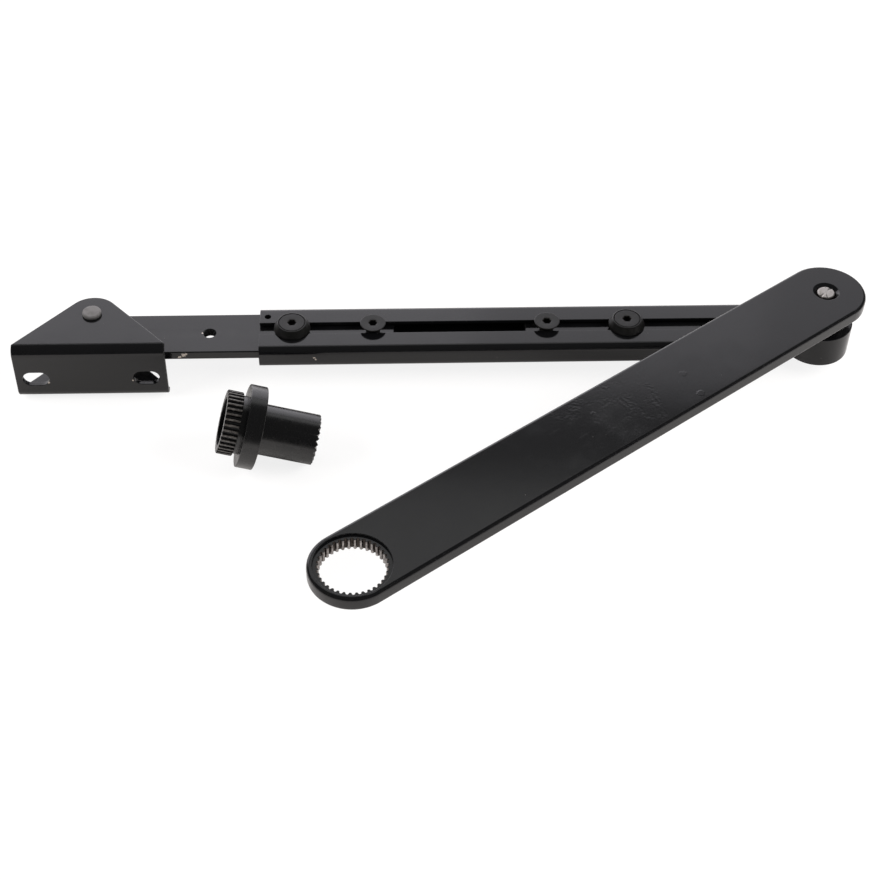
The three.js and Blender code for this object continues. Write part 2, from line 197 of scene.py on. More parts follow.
def anticlockwise(points: Sequence[Pair]) -> list[Pair]:
    """Gives the outline with its points in anticlockwise order, whichever way they came."""
    area = sum(points[i - 1][0] * y - x * points[i - 1][1] for i, (x, y) in enumerate(points))
    return list(points) if area > 0 else list(reversed(points))


def lifted(points: Iterable[Pair], level: float) -> Loop:
    """Gives the outline's points at a height."""
    return [Vector((x, y, level)) for x, y in points]


def toothed(teeth: int, tip: float, root: float, level: float, sides: int, sharpness: float = 1.7) -> Loop:
    """Lays points round a spline whose flanks slope between its tips and its roots.

    Args:
        teeth: How many teeth there are.
        tip: The distance of the teeth's tips from the axis.
        root: The distance of the gaps between them.
        level: The outline's height.
        sides: How many points it has, a multiple of the teeth.
        sharpness: How steep the flanks are; a plain wave has 1.

    Returns:
        The points, anticlockwise.
    """
    middle, swing = (tip + root) / 2, (tip - root) / 2
    loop = []
    for index in range(sides):
        turn = FULL_TURN * index / sides
        wave = max(-1.0, min(1.0, sharpness * math.cos(teeth * turn)))
        radius = middle + swing * wave
        loop.append(Vector((radius * math.cos(turn), radius * math.sin(turn), level)))
    return loop


def hexagon(across: float, level: float, sides: int) -> Loop:
    """Lays points round a hexagon.

    Args:
        across: The distance between two opposite flats.
        level: The hexagon's height.
        sides: How many points it has, a multiple of 6.

    Returns:
        The points, anticlockwise, some of them on its corners.
    """
    sixth = FULL_TURN / 6
    loop = []
    for index in range(sides):
        turn = FULL_TURN * index / sides
        radius = across / 2 / math.cos(turn % sixth - sixth / 2)
        loop.append(Vector((radius * math.cos(turn), radius * math.sin(turn), level)))
    return loop


@dataclass(frozen=True)
class Thread:
    """A screw thread: its crest or root farthest from the axis, its depth and its pitch."""

    radius: float = 4.0 * MM
    depth: float = 0.55 * MM
    pitch: float = 1.25 * MM
    steps: int = 5

    def loops(self, low: float, high: float, sides: int, centre: Pair = (0.0, 0.0)) -> list[Loop]:
        """Winds the thread round an axis.

        Args:
            low: Where it starts.
            high: Where it ends.
            sides: How many points each turn has.
            centre: Where the axis is.

        Returns:
            Loops of points from the low end to the high one.
        """
        count = max(2, round((high - low) / self.pitch * self.steps))
        loops = []
        for index in range(count + 1):
            level = low + (high - low) * index / count
            loop = []
            for side in range(sides):
                share = side / sides
                phase = (level / self.pitch - share) % 1.0
                radius = self.radius - self.depth * abs(2 * phase - 1)
                turn = FULL_TURN * share
                x = centre[0] + radius * math.cos(turn)
                loop.append(Vector((x, centre[1] + radius * math.sin(turn), level)))
            loops.append(loop)
        return loops


# ---- Meshes ----
class Skin:
    """A closed mesh grown from rings of points, which becomes one piece."""

    edge_steps: int = 4

    def __init__(self) -> None:
        """Starts with an empty mesh."""
        self.mesh = bmesh.new()

    def ring(self, points: Iterable[Vector]) -> Ring:
        """Adds a ring of corners to the mesh."""
        return [self.mesh.verts.new(point) for point in points]

    def strip(self, first: Ring, second: Ring, tone: int = 0) -> None:
        """Joins two rings that have as many corners with a band of faces.

        Args:
            first: One ring.
            second: The other ring.
            tone: Which of the piece's finishes the band has.
        """
        for i in range(len(first)):
            face = self.mesh.faces.new((first[i - 1], first[i], second[i], second[i - 1]))
            face.material_index = tone

    def tube(self, loops: Sequence[Loop], tones: Sequence[int] = (),
             closed: bool = False) -> tuple[Ring, Ring]:
        """Joins loops of points, one after another.

        Args:
            loops: The loops, each with as many points.
            tones: The finish of each band, or nothing for the first finish all along.
            closed: Whether the last loop joins the first.

        Returns:
            The first ring and the last one.
        """
        rings = [self.ring(loop) for loop in loops]
        for index in range(len(rings) - 1):
            self.strip(rings[index], rings[index + 1], tones[index] if tones else 0)
        if closed:
            self.strip(rings[-1], rings[0])
        return rings[0], rings[-1]

    def cap(self, outer: Ring, *holes: Ring, tone: int = 0) -> None:
        """Fills a flat ring with faces, leaving the holes open.

        Args:
            outer: The ring round the outside.
            holes: Rings inside it that stay open.
            tone: Which of the piece's finishes the faces have.
        """
        rings = [outer, *holes]
        corners = [corner for ring in rings for corner in ring]
        for triangle in tessellate_polygon([[corner.co for corner in ring] for ring in rings]):
            face = self.mesh.faces.new([corners[i] for i in triangle])
            face.material_index = tone

    def wall(self, outline: Sequence[Pair], low: float, high: float, edge: float,
             hole: bool = False) -> tuple[Ring, Ring]:
        """Runs an outline from one height to another, with both its edges rounded into the piece.

        Args:
            outline: The outline's points.
            low: Where the wall starts.
            high: Where it ends.
            edge: The radius of its rounded edges.
            hole: Whether the piece is outside the outline.

        Returns:
            The ring at the low end and the ring at the high end.
        """
        side = -1 if hole else 1
        points = anticlockwise(outline)
        turns = [QUARTER_TURN * i / self.edge_steps for i in range(self.edge_steps + 1)]
        lower = [lifted(moved_in(points, side * edge * (1 - math.sin(t))), low + edge * (1 - math.cos(t)))
                 for t in turns]
        upper = [lifted(moved_in(points, side * edge * (1 - math.sin(t))), high - edge * (1 - math.cos(t)))
                 for t in reversed(turns)]
        return self.tube(lower + upper)

    def turned(self, profile: Sequence[Pair], sides: int, closed: bool = False) -> tuple[Ring, Ring]:
        """Turns a profile of distances and heights about the Z axis, as Skin.tube joins loops."""
        return self.tube([circle(radius, level, sides) for radius, level in profile], closed=closed)

    def flat_cut(self, place: Vector, facing: Vector) -> None:
        """Adds an edge wherever a plane crosses the mesh."""
        everything = [*self.mesh.verts, *self.mesh.edges, *self.mesh.faces]
        bmesh.ops.bisect_plane(self.mesh, geom=everything, plane_co=place, plane_no=facing, dist=1e-7)

    def piece(self, name: str, materials: Sequence[bpy.types.Material]) -> bpy.types.Object:
        """Turns the mesh into an object in the scene, smooth but for its sharp edges.

        Args:
            name: The object's name.
            materials: Its finishes, in the order of their tones.

        Returns:
            The object, at the origin.
        """
        bmesh.ops.recalc_face_normals(self.mesh, faces=self.mesh.faces)
        for face in self.mesh.faces:
            face.smooth = True
        for edge in self.mesh.edges:
            edge.smooth = edge.calc_face_angle(0.0) < SHARP_ANGLE
        data = bpy.data.meshes.new(name)
        self.mesh.to_mesh(data)
        self.mesh.free()
        for material in materials:
            data.materials.append(material)
        made = bpy.data.objects.new(name, data)
        bpy.context.scene.collection.objects.link(made)
        weighting = made.modifiers.new("flat faces stay flat", "WEIGHTED_NORMAL")
        weighting.keep_sharp = True
        return made


@dataclass(frozen=True)
class Fold:
    """A flat stretch of a bent sheet, and the quarter turn that may follow it."""

    flat: float
    bend: float = 0.0


@dataclass
class BentSheet:
    """A sheet bent along X: its outer side's path from a start, through flats and quarter turns."""

    folds: Sequence[Fold]
    start: Pair
    heading: float
    turning: int
    bend_steps: int = 8

    @property
    def length(self) -> float:
        """The length of the outer side's path."""
        return sum(fold.flat + fold.bend * QUARTER_TURN for fold in self.folds)

    def cuts(self) -> list[float]:
        """Finds the places along the path where the flat sheet needs an edge, so that it can bend there.

        Returns:
            The places, from the path's start.
        """
        places, along = [], 0.0
        for fold in self.folds:
            along += fold.flat
            if fold.bend:
                run = fold.bend * QUARTER_TURN
                places += [along + run * i / self.bend_steps for i in range(self.bend_steps + 1)]
                along += run
        return places

    def placed(self, along: float, depth: float) -> Pair:
        """Finds where a point of the flat sheet is once the sheet is bent.

        Args:
            along: How far along the path it is.
            depth: How far under the outer side it is.

        Returns:
            Its Y and Z.
        """
        y, z = self.start
        heading = self.heading
        for fold in self.folds:
            inward = heading + self.turning * QUARTER_TURN
            straight = along if fold is self.folds[-1] else min(along, fold.flat)
            y, z = y + math.cos(heading) * straight, z + math.sin(heading) * straight
            along -= straight
            if along <= 0:
                return y + math.cos(inward) * depth, z + math.sin(inward) * depth
            centre = (y + math.cos(inward) * fold.bend, z + math.sin(inward) * fold.bend)
            run = fold.bend * QUARTER_TURN
            outward = inward + HALF_TURN + self.turning * min(along, run) / fold.bend
            if along < run:
                reach = fold.bend - depth
                return centre[0] + math.cos(outward) * reach, centre[1] + math.sin(outward) * reach
            y, z = centre[0] + math.cos(outward) * fold.bend, centre[1] + math.sin(outward) * fold.bend
            heading += self.turning * QUARTER_TURN
            along -= run
        return y + math.cos(inward) * depth, z + math.sin(inward) * depth

    def bent(self, skin: Skin, name: str, materials: Sequence[bpy.types.Material]) -> bpy.types.Object:
        """Bends a flat sheet, which lies with X across it, its path along Y and its outer side at Z 0.

        Args:
            skin: The flat sheet.
            name: The name of the object to make.
            materials: Its finishes.

        Returns:
            The bent sheet as an object.
        """
        for place in self.cuts():
            skin.flat_cut(Vector((0, place, 0)), Vector((0, 1, 0)))
        for corner in skin.mesh.verts:
            corner.co.yz = self.placed(corner.co.y, corner.co.z)
        return skin.piece(name, materials)


# ---- Shader effects ----
class Wiring:
    """Adds and joins the nodes of one shader tree."""

    def __init__(self, tree: bpy.types.NodeTree) -> None:
        """Keeps the tree to work on."""
        self.tree = tree

    def add(self, kind: str, inputs: dict | None = None, **settings: object) -> bpy.types.Node:
        """Adds a node.

        Args:
            kind: The node's type.
            inputs: What goes in each input: a value, or the socket that it comes from.
            settings: The node's own settings.

        Returns:
            The node.
        """
        node = self.tree.nodes.new(kind)
        for name, value in settings.items():
            setattr(node, name, value)
        for key, value in (inputs or {}).items():
            if isinstance(value, bpy.types.NodeSocket):
                self.tree.links.new(value, node.inputs[key])
            else:
                node.inputs[key].default_value = value
        return node

    def math(self, operation: str, *values: object) -> bpy.types.NodeSocket:
        """Adds a sum, product or other operation on numbers, and gives what comes out."""
        return self.add("ShaderNodeMath", dict(enumerate(values)), operation=operation).outputs[0]

    def ramp(self, value: object, low: float, high: float) -> bpy.types.NodeSocket:
        """Adds a smooth step: 0 below the low value and 1 above the high one."""
        inputs = {"Value": value, "From Min": low, "From Max": high}
        return self.add("ShaderNodeMapRange", inputs, interpolation_type="SMOOTHSTEP").outputs["Result"]

    def blend(self, share: object, first: object, second: object) -> bpy.types.NodeSocket:
        """Adds a mix of two colours.

        Args:
            share: How much of the second colour there is, from 0 to 1.
            first: The first colour, or the socket that it comes from.
            second: The second colour, or its socket.

        Returns:
            The mixed colour.
        """
        share_input, first_input, second_input, colour_output = 0, 6, 7, 2
        inputs = {share_input: share}
        for index, colour in ((first_input, first), (second_input, second)):
            inputs[index] = (*colour, 1.0) if isinstance(colour, tuple) else colour
        return self.add("ShaderNodeMix", inputs, data_type="RGBA").outputs[colour_output]

    def place(self) -> bpy.types.NodeSocket:
        """Adds the surface's place in its own piece, as it was made."""
        return self.add("ShaderNodeAttribute", attribute_name=OWN_PLACE).outputs["Vector"]

    def noise(self, place: object, cell: object, detail: float = 2.0) -> bpy.types.NodeSocket:
        """Adds soft noise round 0.5, in patches of a size, with some finer layers on it."""
        scale = self.math("DIVIDE", 1.0, cell)
        return self.add("ShaderNodeTexNoise", {"Vector": place, "Scale": scale, "Detail": detail}).outputs[0]


class Effect(Enum):
    """The shader effects that several finishes share."""

    PEEL = "orange peel"
    THIN_EDGES = "coat thin on edges"
    DUST = "dust specks"
    TURNED_LINES = "turned lines"
    HANDLING = "handling marks"
    SPOT = "ragged spot"


class Effects:
    """Builds each shared effect's node group once."""

    _built: dict[Effect, bpy.types.NodeTree] = {}

    @classmethod
    def group(cls, effect: Effect) -> bpy.types.NodeTree:
        """Gives an effect's node group, built when it is first asked for.

        Args:
            effect: Which effect.

        Returns:
            Its node group.
        """
        if effect not in cls._built:
            builders: dict[Effect, Callable[[], bpy.types.NodeTree]] = {
                Effect.PEEL: cls._peel,
                Effect.THIN_EDGES: cls._thin_edges,
                Effect.DUST: cls._dust,
                Effect.TURNED_LINES: cls._turned_lines,
                Effect.HANDLING: cls._handling,
                Effect.SPOT: cls._spot,
            }
            cls._built[effect] = builders[effect]()
        return cls._built[effect]

    @classmethod
    def add(cls, wiring: Wiring, effect: Effect, **inputs: object) -> bpy.types.Node:
        """Places an effect in a tree.

        Args:
            wiring: The tree.
            effect: Which effect.
            inputs: Its values by name, with _ for the spaces.

        Returns:
            The group node.
        """
        node = wiring.add("ShaderNodeGroup", node_tree=cls.group(effect))
        for name, value in inputs.items():
            node.inputs[name.replace("_", " ")].default_value = value
        return node

    @staticmethod
    def _frame(effect: Effect, inputs: dict[str, float | Sequence[float]],
               outputs: Sequence[str]) -> tuple[Wiring, bpy.types.Node, bpy.types.Node]:
        """Starts a group with its named sockets.

        Args:
            effect: The effect that it is for.
            inputs: Each input's name and usual value, a vector where that is three numbers.
            outputs: The names of its outputs.

        Returns:
            The group's wiring, its input node and its output node.
        """
        tree = bpy.data.node_groups.new(effect.value, "ShaderNodeTree")
        for name, value in inputs.items():
            kind = "NodeSocketFloat" if isinstance(value, float) else "NodeSocketVector"
            socket = tree.interface.new_socket(name, in_out="INPUT", socket_type=kind)
            socket.default_value = value
        for name in outputs:
            tree.interface.new_socket(name, in_out="OUTPUT", socket_type="NodeSocketFloat")
        wiring = Wiring(tree)
        return wiring, wiring.add("NodeGroupInput"), wiring.add("NodeGroupOutput")

    @classmethod
    def _peel(cls) -> bpy.types.NodeTree:
        """Builds the low waves that powder leaves as it melts, on longer and lower ones.

        Returns:
            The group, which gives their height and a broad tone.
        """
        inputs = {"Cell": 1.5 * MM, "Long Waves": 0.5}
        wiring, given, out = cls._frame(Effect.PEEL, inputs, ("Height", "Tone"))
        place = wiring.place()
        fine = wiring.noise(place, given.outputs["Cell"], 1.0)
        long_cell = wiring.math("MULTIPLY", given.outputs["Cell"], 7.0)
        long = wiring.noise(place, long_cell, 1.0)
        waves = wiring.math("MULTIPLY", long, given.outputs["Long Waves"])
        wiring.tree.links.new(wiring.math("ADD", fine, waves), out.inputs["Height"])
        wiring.tree.links.new(long, out.inputs["Tone"])
        return wiring.tree

    @classmethod
    def _thin_edges(cls) -> bpy.types.NodeTree:
        """Builds a mask of the edges that stand out, broken up along their length.

        Returns:
            The group, which gives the mask.
        """
        wiring, given, out = cls._frame(Effect.THIN_EDGES, {"Reach": 0.06, "Cell": 4.0 * MM}, ("Mask",))
        pointed = wiring.add("ShaderNodeNewGeometry").outputs["Pointiness"]
        above = wiring.math("SUBTRACT", pointed, 0.5)
        edge = wiring.math("DIVIDE", above, given.outputs["Reach"])
        broken = wiring.ramp(wiring.noise(wiring.place(), given.outputs["Cell"], 3.0), 0.35, 0.7)
        mask = wiring.math("MULTIPLY", wiring.ramp(edge, 0.1, 1.0), broken)
        wiring.tree.links.new(mask, out.inputs["Mask"])
        return wiring.tree

    @classmethod
    def _dust(cls) -> bpy.types.NodeTree:
        """Builds small scattered specks, each of its own size.

        Returns:
            The group, which gives their mask.
        """
        wiring, given, out = cls._frame(Effect.DUST, {"Spacing": 7.0 * MM, "Size": 0.03}, ("Mask",))
        scale = wiring.math("DIVIDE", 1.0, given.outputs["Spacing"])
        cells = wiring.add("ShaderNodeTexVoronoi", {"Vector": wiring.place(), "Scale": scale})
        share = wiring.add("ShaderNodeSeparateColor", {0: cells.outputs["Color"]}).outputs[0]
        size = wiring.math("MULTIPLY", share, given.outputs["Size"])
        gap = wiring.math("DIVIDE", cells.outputs["Distance"], wiring.math("MAXIMUM", size, 1e-4))
        wiring.tree.links.new(wiring.ramp(gap, 1.0, 0.6), out.inputs["Mask"])
        return wiring.tree

    @classmethod
    def _turned_lines(cls) -> bpy.types.NodeTree:
        """Builds the fine rings that a lathe leaves, both along the axis and out from it.

        Returns:
            The group, which gives their height and a broad tone.
        """
        wiring, given, out = cls._frame(Effect.TURNED_LINES, {"Spacing": 0.12 * MM}, ("Height", "Tone"))
        parts = wiring.add("ShaderNodeSeparateXYZ", {0: wiring.place()})
        flat = wiring.add("ShaderNodeCombineXYZ", {0: parts.outputs[0], 1: parts.outputs[1]})
        radius = wiring.add("ShaderNodeVectorMath", {0: flat.outputs[0]}, operation="LENGTH").outputs["Value"]
        along = wiring.math("ADD", parts.outputs[2], radius)
        wide = wiring.math("DIVIDE", along, given.outputs["Spacing"])
        for name, scale, detail in (("Height", 1.0, 3.0), ("Tone", 0.07, 1.0)):
            inputs = {"W": wide, "Scale": scale, "Detail": detail}
            lines = wiring.add("ShaderNodeTexNoise", inputs, noise_dimensions="1D")
            wiring.tree.links.new(lines.outputs[0], out.inputs[name])
        return wiring.tree

    @classmethod
    def _handling(cls) -> bpy.types.NodeTree:
        """Builds faint smears and hairline scratches that run mostly one way.

        Returns:
            The group, which gives a mask of each.
        """
        inputs = {"Cell": 14.0 * MM, "Hairlines": 0.5}
        wiring, given, out = cls._frame(Effect.HANDLING, inputs, ("Smear", "Scratch"))
        place = wiring.place()
        smear = wiring.ramp(wiring.noise(place, given.outputs["Cell"], 4.0), 0.42, 0.75)
        stretched = {"Vector": place, "Rotation": (0.3, 0.2, 0.5), "Scale": (9, 240, 160)}
        turned = wiring.add("ShaderNodeMapping", stretched)
        streak = wiring.add("ShaderNodeTexNoise", {"Vector": turned.outputs[0], "Scale": 4.0, "Detail": 1.0})
        hair = wiring.math("MULTIPLY", wiring.ramp(streak.outputs[0], 0.7, 0.76), given.outputs["Hairlines"])
        wiring.tree.links.new(smear, out.inputs["Smear"])
        wiring.tree.links.new(hair, out.inputs["Scratch"])
        return wiring.tree

    @classmethod
    def _spot(cls) -> bpy.types.NodeTree:
        """Builds a spot with a ragged rim, about a place in the piece.

        Returns:
            The group, which gives its mask.
        """
        inputs = {"Centre": (0.0, 0.0, 0.0), "Reach": 1.0 * MM, "Rag": 0.5, "Cell": 0.6 * MM}
        wiring, given, out = cls._frame(Effect.SPOT, inputs, ("Mask",))
        place = wiring.place()
        gap = wiring.add("ShaderNodeVectorMath", {0: place, 1: given.outputs["Centre"]}, operation="DISTANCE")
        share = wiring.math("DIVIDE", gap.outputs["Value"], given.outputs["Reach"])
        rough = wiring.math("SUBTRACT", wiring.noise(place, given.outputs["Cell"], 3.0), 0.5)
        ragged = wiring.math("ADD", share, wiring.math("MULTIPLY", rough, given.outputs["Rag"]))
        wiring.tree.links.new(wiring.ramp(ragged, 1.0, 0.75), out.inputs["Mask"])
        return wiring.tree


# ---- Finishes ----
class Slot(Enum):
    """The record's material slots."""

    BLACK_COAT = "black_coat"
    BARE_STEEL = "bare_steel"
    RIVET_STEEL = "rivet_steel"
    SCREW_BLACK = "screw_black"
    BLACK_OXIDE = "black_oxide"
    BRONZE = "bronze"
    ZINC_PLATE = "zinc_plate"


@dataclass(frozen=True)
class Spot:
    """A small place on a piece that differs from the rest: where it is, how wide, and how ragged."""

    centre: tuple[float, float, float]
    reach: float
    rag: float = 0.8


@dataclass(frozen=True)
class PowderCoat:
    """Black powder coat: glossy, with orange peel, thin edges, a little dust, the odd flaw, and bright metal
    spots: chips in the coat, and on the shoe's bracket painted highlights.
    """

    name: str = "black powder coat"
    colour: Colour = (0.0036, 0.0036, 0.004)
    edge_colour: Colour = (0.014, 0.0135, 0.013)
    dust_colour: Colour = (0.09, 0.085, 0.08)
    chip_and_highlight_colour: Colour = (0.4, 0.36, 0.32)
    roughness: float = 0.12
    ior: float = 1.45
    peel_cell: float = 1.7 * MM
    peel_depth: float = 5.0 * MICRON
    flaw_depth: float = 150.0 * MICRON
    ripple_depth: float = 55.0 * MICRON
    # Bright metal spots: chips through the coat, and on the shoe's bracket painted highlights beside the slot
    # ends.
    chips_and_painted_highlights: tuple[Spot, ...] = ()
    ripples: tuple[Spot, ...] = ()
    nibs: tuple[Spot, ...] = ()

    def _spots(self, wiring: Wiring, spots: Sequence[Spot]) -> object:
        """Joins the masks of several spots into one.

        Args:
            wiring: The finish's tree.
            spots: The spots.

        Returns:
            The joined mask, or 0 where there is no spot.
        """
        total: object = 0.0
        for spot in spots:
            mask = Effects.add(wiring, Effect.SPOT, Centre=spot.centre, Reach=spot.reach, Rag=spot.rag,
                               Cell=spot.reach / 2).outputs["Mask"]
            total = wiring.math("MAXIMUM", total, mask)
        return total

    def material(self) -> bpy.types.Material:
        """Makes the finish as a material.

        Returns:
            The material.
        """
        made = bpy.data.materials.new(self.name)
        made.use_nodes = True
        wiring = Wiring(made.node_tree)
        shader = made.node_tree.nodes["Principled BSDF"]
        peel = Effects.add(wiring, Effect.PEEL, Cell=self.peel_cell, Long_Waves=1.6)
        edges = Effects.add(wiring, Effect.THIN_EDGES, Reach=0.09, Cell=5.0 * MM)
        dust = Effects.add(wiring, Effect.DUST, Spacing=9.0 * MM, Size=0.035)
        marks = Effects.add(wiring, Effect.HANDLING, Cell=22.0 * MM, Hairlines=0.35)

        # Mask of the bright metal spots: chips in the coat, and on the shoe's bracket painted highlights.
        chip_and_highlight_mask = self._spots(wiring, self.chips_and_painted_highlights)
        coat = wiring.blend(edges.outputs["Mask"], self.colour, self.edge_colour)
        dusty = wiring.blend(dust.outputs["Mask"], coat, self.dust_colour)
        colour = wiring.blend(chip_and_highlight_mask, dusty, self.chip_and_highlight_colour) if self.chips_and_painted_highlights else dusty
        made.node_tree.links.new(colour, shader.inputs["Base Color"])
        if self.chips_and_painted_highlights:
            made.node_tree.links.new(chip_and_highlight_mask, shader.inputs["Metallic"])

        smeared = wiring.math("MULTIPLY_ADD", marks.outputs["Smear"], 0.035, self.roughness)
        scratched = wiring.math("MULTIPLY_ADD", marks.outputs["Scratch"], 0.25, smeared)
        roughness = wiring.math("MULTIPLY_ADD", dust.outputs["Mask"], 0.4, scratched)
        made.node_tree.links.new(roughness, shader.inputs["Roughness"])

        height = wiring.math("MULTIPLY", peel.outputs["Height"], self.peel_depth)
        if self.ripples:
            wrinkle = wiring.math("SUBTRACT", wiring.noise(wiring.place(), 2.0 * MM, 1.0), 0.5)
            here_and_there = wiring.ramp(wiring.noise(wiring.place(), 11.0 * MM, 1.0), 0.42, 0.68)
            patch = wiring.math("MULTIPLY", self._spots(wiring, self.ripples), here_and_there)
            ripple = wiring.math("MULTIPLY", patch, wrinkle)
            height = wiring.math("MULTIPLY_ADD", ripple, self.ripple_depth, height)
        if self.nibs:
            height = wiring.math("MULTIPLY_ADD", self._spots(wiring, self.nibs), self.flaw_depth * 2, height)
        if self.chips_and_painted_highlights:
            height = wiring.math("MULTIPLY_ADD", chip_and_highlight_mask, -self.flaw_depth, height)
        height = wiring.math("MULTIPLY_ADD", dust.outputs["Mask"], 12 * MICRON, height)
        bump = wiring.add("ShaderNodeBump", {"Height": height, "Distance": 1.0})
        made.node_tree.links.new(bump.outputs[0], shader.inputs["Normal"])
        shader.inputs["IOR"].default_value = self.ior
        return made


@dataclass(frozen=True)
class TurnedMetal:
    """Turned metal, bare, plated or blackened: fine lathe lines, smears and worn edges."""

    name: str
    colour: Colour
    dark_colour: Colour
    edge_colour: Colour
    roughness: float
    metallic: float = 1.0
    ior: float = 1.5
    line_spacing: float = 0.13 * MM
    line_depth: float = 2.0 * MICRON
    stain_cell: float = 5.0 * MM
    edge_reach: float = 0.1

    def material(self) -> bpy.types.Material:
        """Makes the finish as a material.

        Returns:
            The material.
        """
        made = bpy.data.materials.new(self.name)
        made.use_nodes = True
        wiring = Wiring(made.node_tree)
        shader = made.node_tree.nodes["Principled BSDF"]
        lines = Effects.add(wiring, Effect.TURNED_LINES, Spacing=self.line_spacing)
        marks = Effects.add(wiring, Effect.HANDLING, Cell=self.stain_cell, Hairlines=0.6)
        edges = Effects.add(wiring, Effect.THIN_EDGES, Reach=self.edge_reach, Cell=2.0 * MM)
        dust = Effects.add(wiring, Effect.DUST, Spacing=5.0 * MM, Size=0.03)

        toned = wiring.math("MULTIPLY", lines.outputs["Tone"], 0.6)
        darker = wiring.math("MULTIPLY_ADD", marks.outputs["Smear"], 0.5, toned)
        body = wiring.blend(wiring.math("MINIMUM", darker, 1.0), self.colour, self.dark_colour)
        worn = wiring.blend(edges.outputs["Mask"], body, self.edge_colour)
        made.node_tree.links.new(worn, shader.inputs["Base Color"])

        lined = wiring.math("MULTIPLY_ADD", lines.outputs["Height"], 0.08, self.roughness - 0.04)
        smeared = wiring.math("MULTIPLY_ADD", marks.outputs["Smear"], 0.08, lined)
        roughness = wiring.math("MULTIPLY_ADD", dust.outputs["Mask"], 0.3, smeared)
        made.node_tree.links.new(roughness, shader.inputs["Roughness"])

        cut = wiring.math("MULTIPLY", lines.outputs["Height"], self.line_depth)
        height = wiring.math("MULTIPLY_ADD", marks.outputs["Scratch"], -self.line_depth, cut)
        bump = wiring.add("ShaderNodeBump", {"Height": height, "Distance": 1.0})
        made.node_tree.links.new(bump.outputs[0], shader.inputs["Normal"])
        shader.inputs["Metallic"].default_value = self.metallic
        shader.inputs["IOR"].default_value = self.ior
        return made


class Finishes:
    """The materials that the pieces share."""

    def __init__(self) -> None:
        """Makes each finish once."""
        self.coat = PowderCoat().material()
        self.bare_steel = TurnedMetal(
            "bare turned steel", colour=(0.56, 0.54, 0.52), dark_colour=(0.36, 0.33, 0.3),
            edge_colour=(0.7, 0.69, 0.67), roughness=0.42).material()
        self.broached_steel = TurnedMetal(
            "broached steel", colour=(0.25, 0.235, 0.23), dark_colour=(0.14, 0.12, 0.11),
            edge_colour=(0.42, 0.4, 0.385), roughness=0.34, line_depth=1.0 * MICRON).material()
        # Painted shade: a very dark steel for the flanks and gaps of the drive arm's spline teeth, where
        # shade falls between them.
        self.gap_shade_steel = TurnedMetal(
            "stained steel", colour=(0.055, 0.046, 0.04), dark_colour=(0.02, 0.014, 0.012),
            edge_colour=(0.12, 0.1, 0.09), roughness=0.36, line_depth=1.0 * MICRON).material()
        self.rivet_steel = TurnedMetal(
            "dull rivet steel", colour=(0.25, 0.24, 0.235), dark_colour=(0.16, 0.15, 0.145),
            edge_colour=(0.36, 0.35, 0.34), roughness=0.58, metallic=0.6).material()
        self.screw_black = TurnedMetal(
            "blackened screw steel", colour=(0.005, 0.0047, 0.0043), dark_colour=(0.0015, 0.0015, 0.0015),
            edge_colour=(0.03, 0.027, 0.023), roughness=0.34, metallic=0.0, ior=1.42,
            line_depth=3.0 * MICRON, stain_cell=1.6 * MM).material()
        self.black_oxide = TurnedMetal(
            "black oxide on turned steel", colour=(0.0025, 0.0025, 0.0028),
            dark_colour=(0.0015, 0.0013, 0.0012), edge_colour=(0.03, 0.028, 0.027),
            roughness=0.24, metallic=0.0, ior=1.6).material()
        self.worn_oxide = TurnedMetal(
            "black oxide worn off the teeth", colour=(0.05, 0.044, 0.04), dark_colour=(0.012, 0.01, 0.009),
            edge_colour=(0.12, 0.11, 0.1), roughness=0.3, metallic=0.0, ior=1.6).material()
        self.bronze = TurnedMetal(
            "sintered bronze", colour=(0.42, 0.27, 0.12), dark_colour=(0.28, 0.17, 0.08),
            edge_colour=(0.55, 0.38, 0.2), roughness=0.46, line_depth=1.0 * MICRON).material()
        self.zinc = TurnedMetal(
            "zinc plate", colour=(0.5, 0.51, 0.52), dark_colour=(0.38, 0.39, 0.4),
            edge_colour=(0.62, 0.63, 0.64), roughness=0.34).material()


# ---- Sub-assemblies ----
class SubAssembly:
    """Pieces that are built together; each stands for CAD nodes and rides on their body."""

    def __init__(self, finishes: Finishes) -> None:
        """Keeps the finishes, and finds which body each CAD node belongs to.

        Args:
            finishes: The finishes that the pieces share.
        """
        self.finishes = finishes
        groups = frame["record"]["behaviour"]["bodies"]
        self.body_of = {node: body for body, nodes in groups.items() for node in nodes}

    def settle(self, piece: bpy.types.Object, node: str, slot: Slot, place: Matrix,
               stands_for: bool = True) -> None:
        """Puts a piece in place and ties it to the frame.

        Args:
            piece: The piece, made about its own origin.
            node: The CAD node that it stands for, or whose body it rides on.
            slot: The record's slot for its finish; not used.
            place: Where its origin goes.
            stands_for: Whether the CAD node is hidden behind it.
        """
        own = piece.data.attributes.new(OWN_PLACE, "FLOAT_VECTOR", "POINT")
        own.data.foreach_set("vector", [part for vertex in piece.data.vertices for part in vertex.co])
        piece.data.transform(place.to_3x3().to_4x4())
        piece.matrix_world = Matrix.Translation(place.to_translation())
        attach(piece, self.body_of[node])
        if stands_for:
            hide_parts(node)
        LOG.info("%s: %d faces, rides on %s", piece.name, len(piece.data.polygons), self.body_of[node])


def middle(node: str) -> Vector:
    """The middle of a CAD node's box."""
    low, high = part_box(node)
    return (low + high) / 2


def half_width(node: str) -> float:
    """Half of how wide a CAD node's box is along X, which is the radius of a turned one."""
    low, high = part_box(node)
    return (high.x - low.x) / 2


def upright(place: Vector, turn: float = 0.0) -> Matrix:
    """The place of a piece whose Z axis stands at a point of the plan, turned about it."""
    return Matrix.Translation((place.x, place.y, 0.0)) @ Matrix.Rotation(turn, 4, "Z")


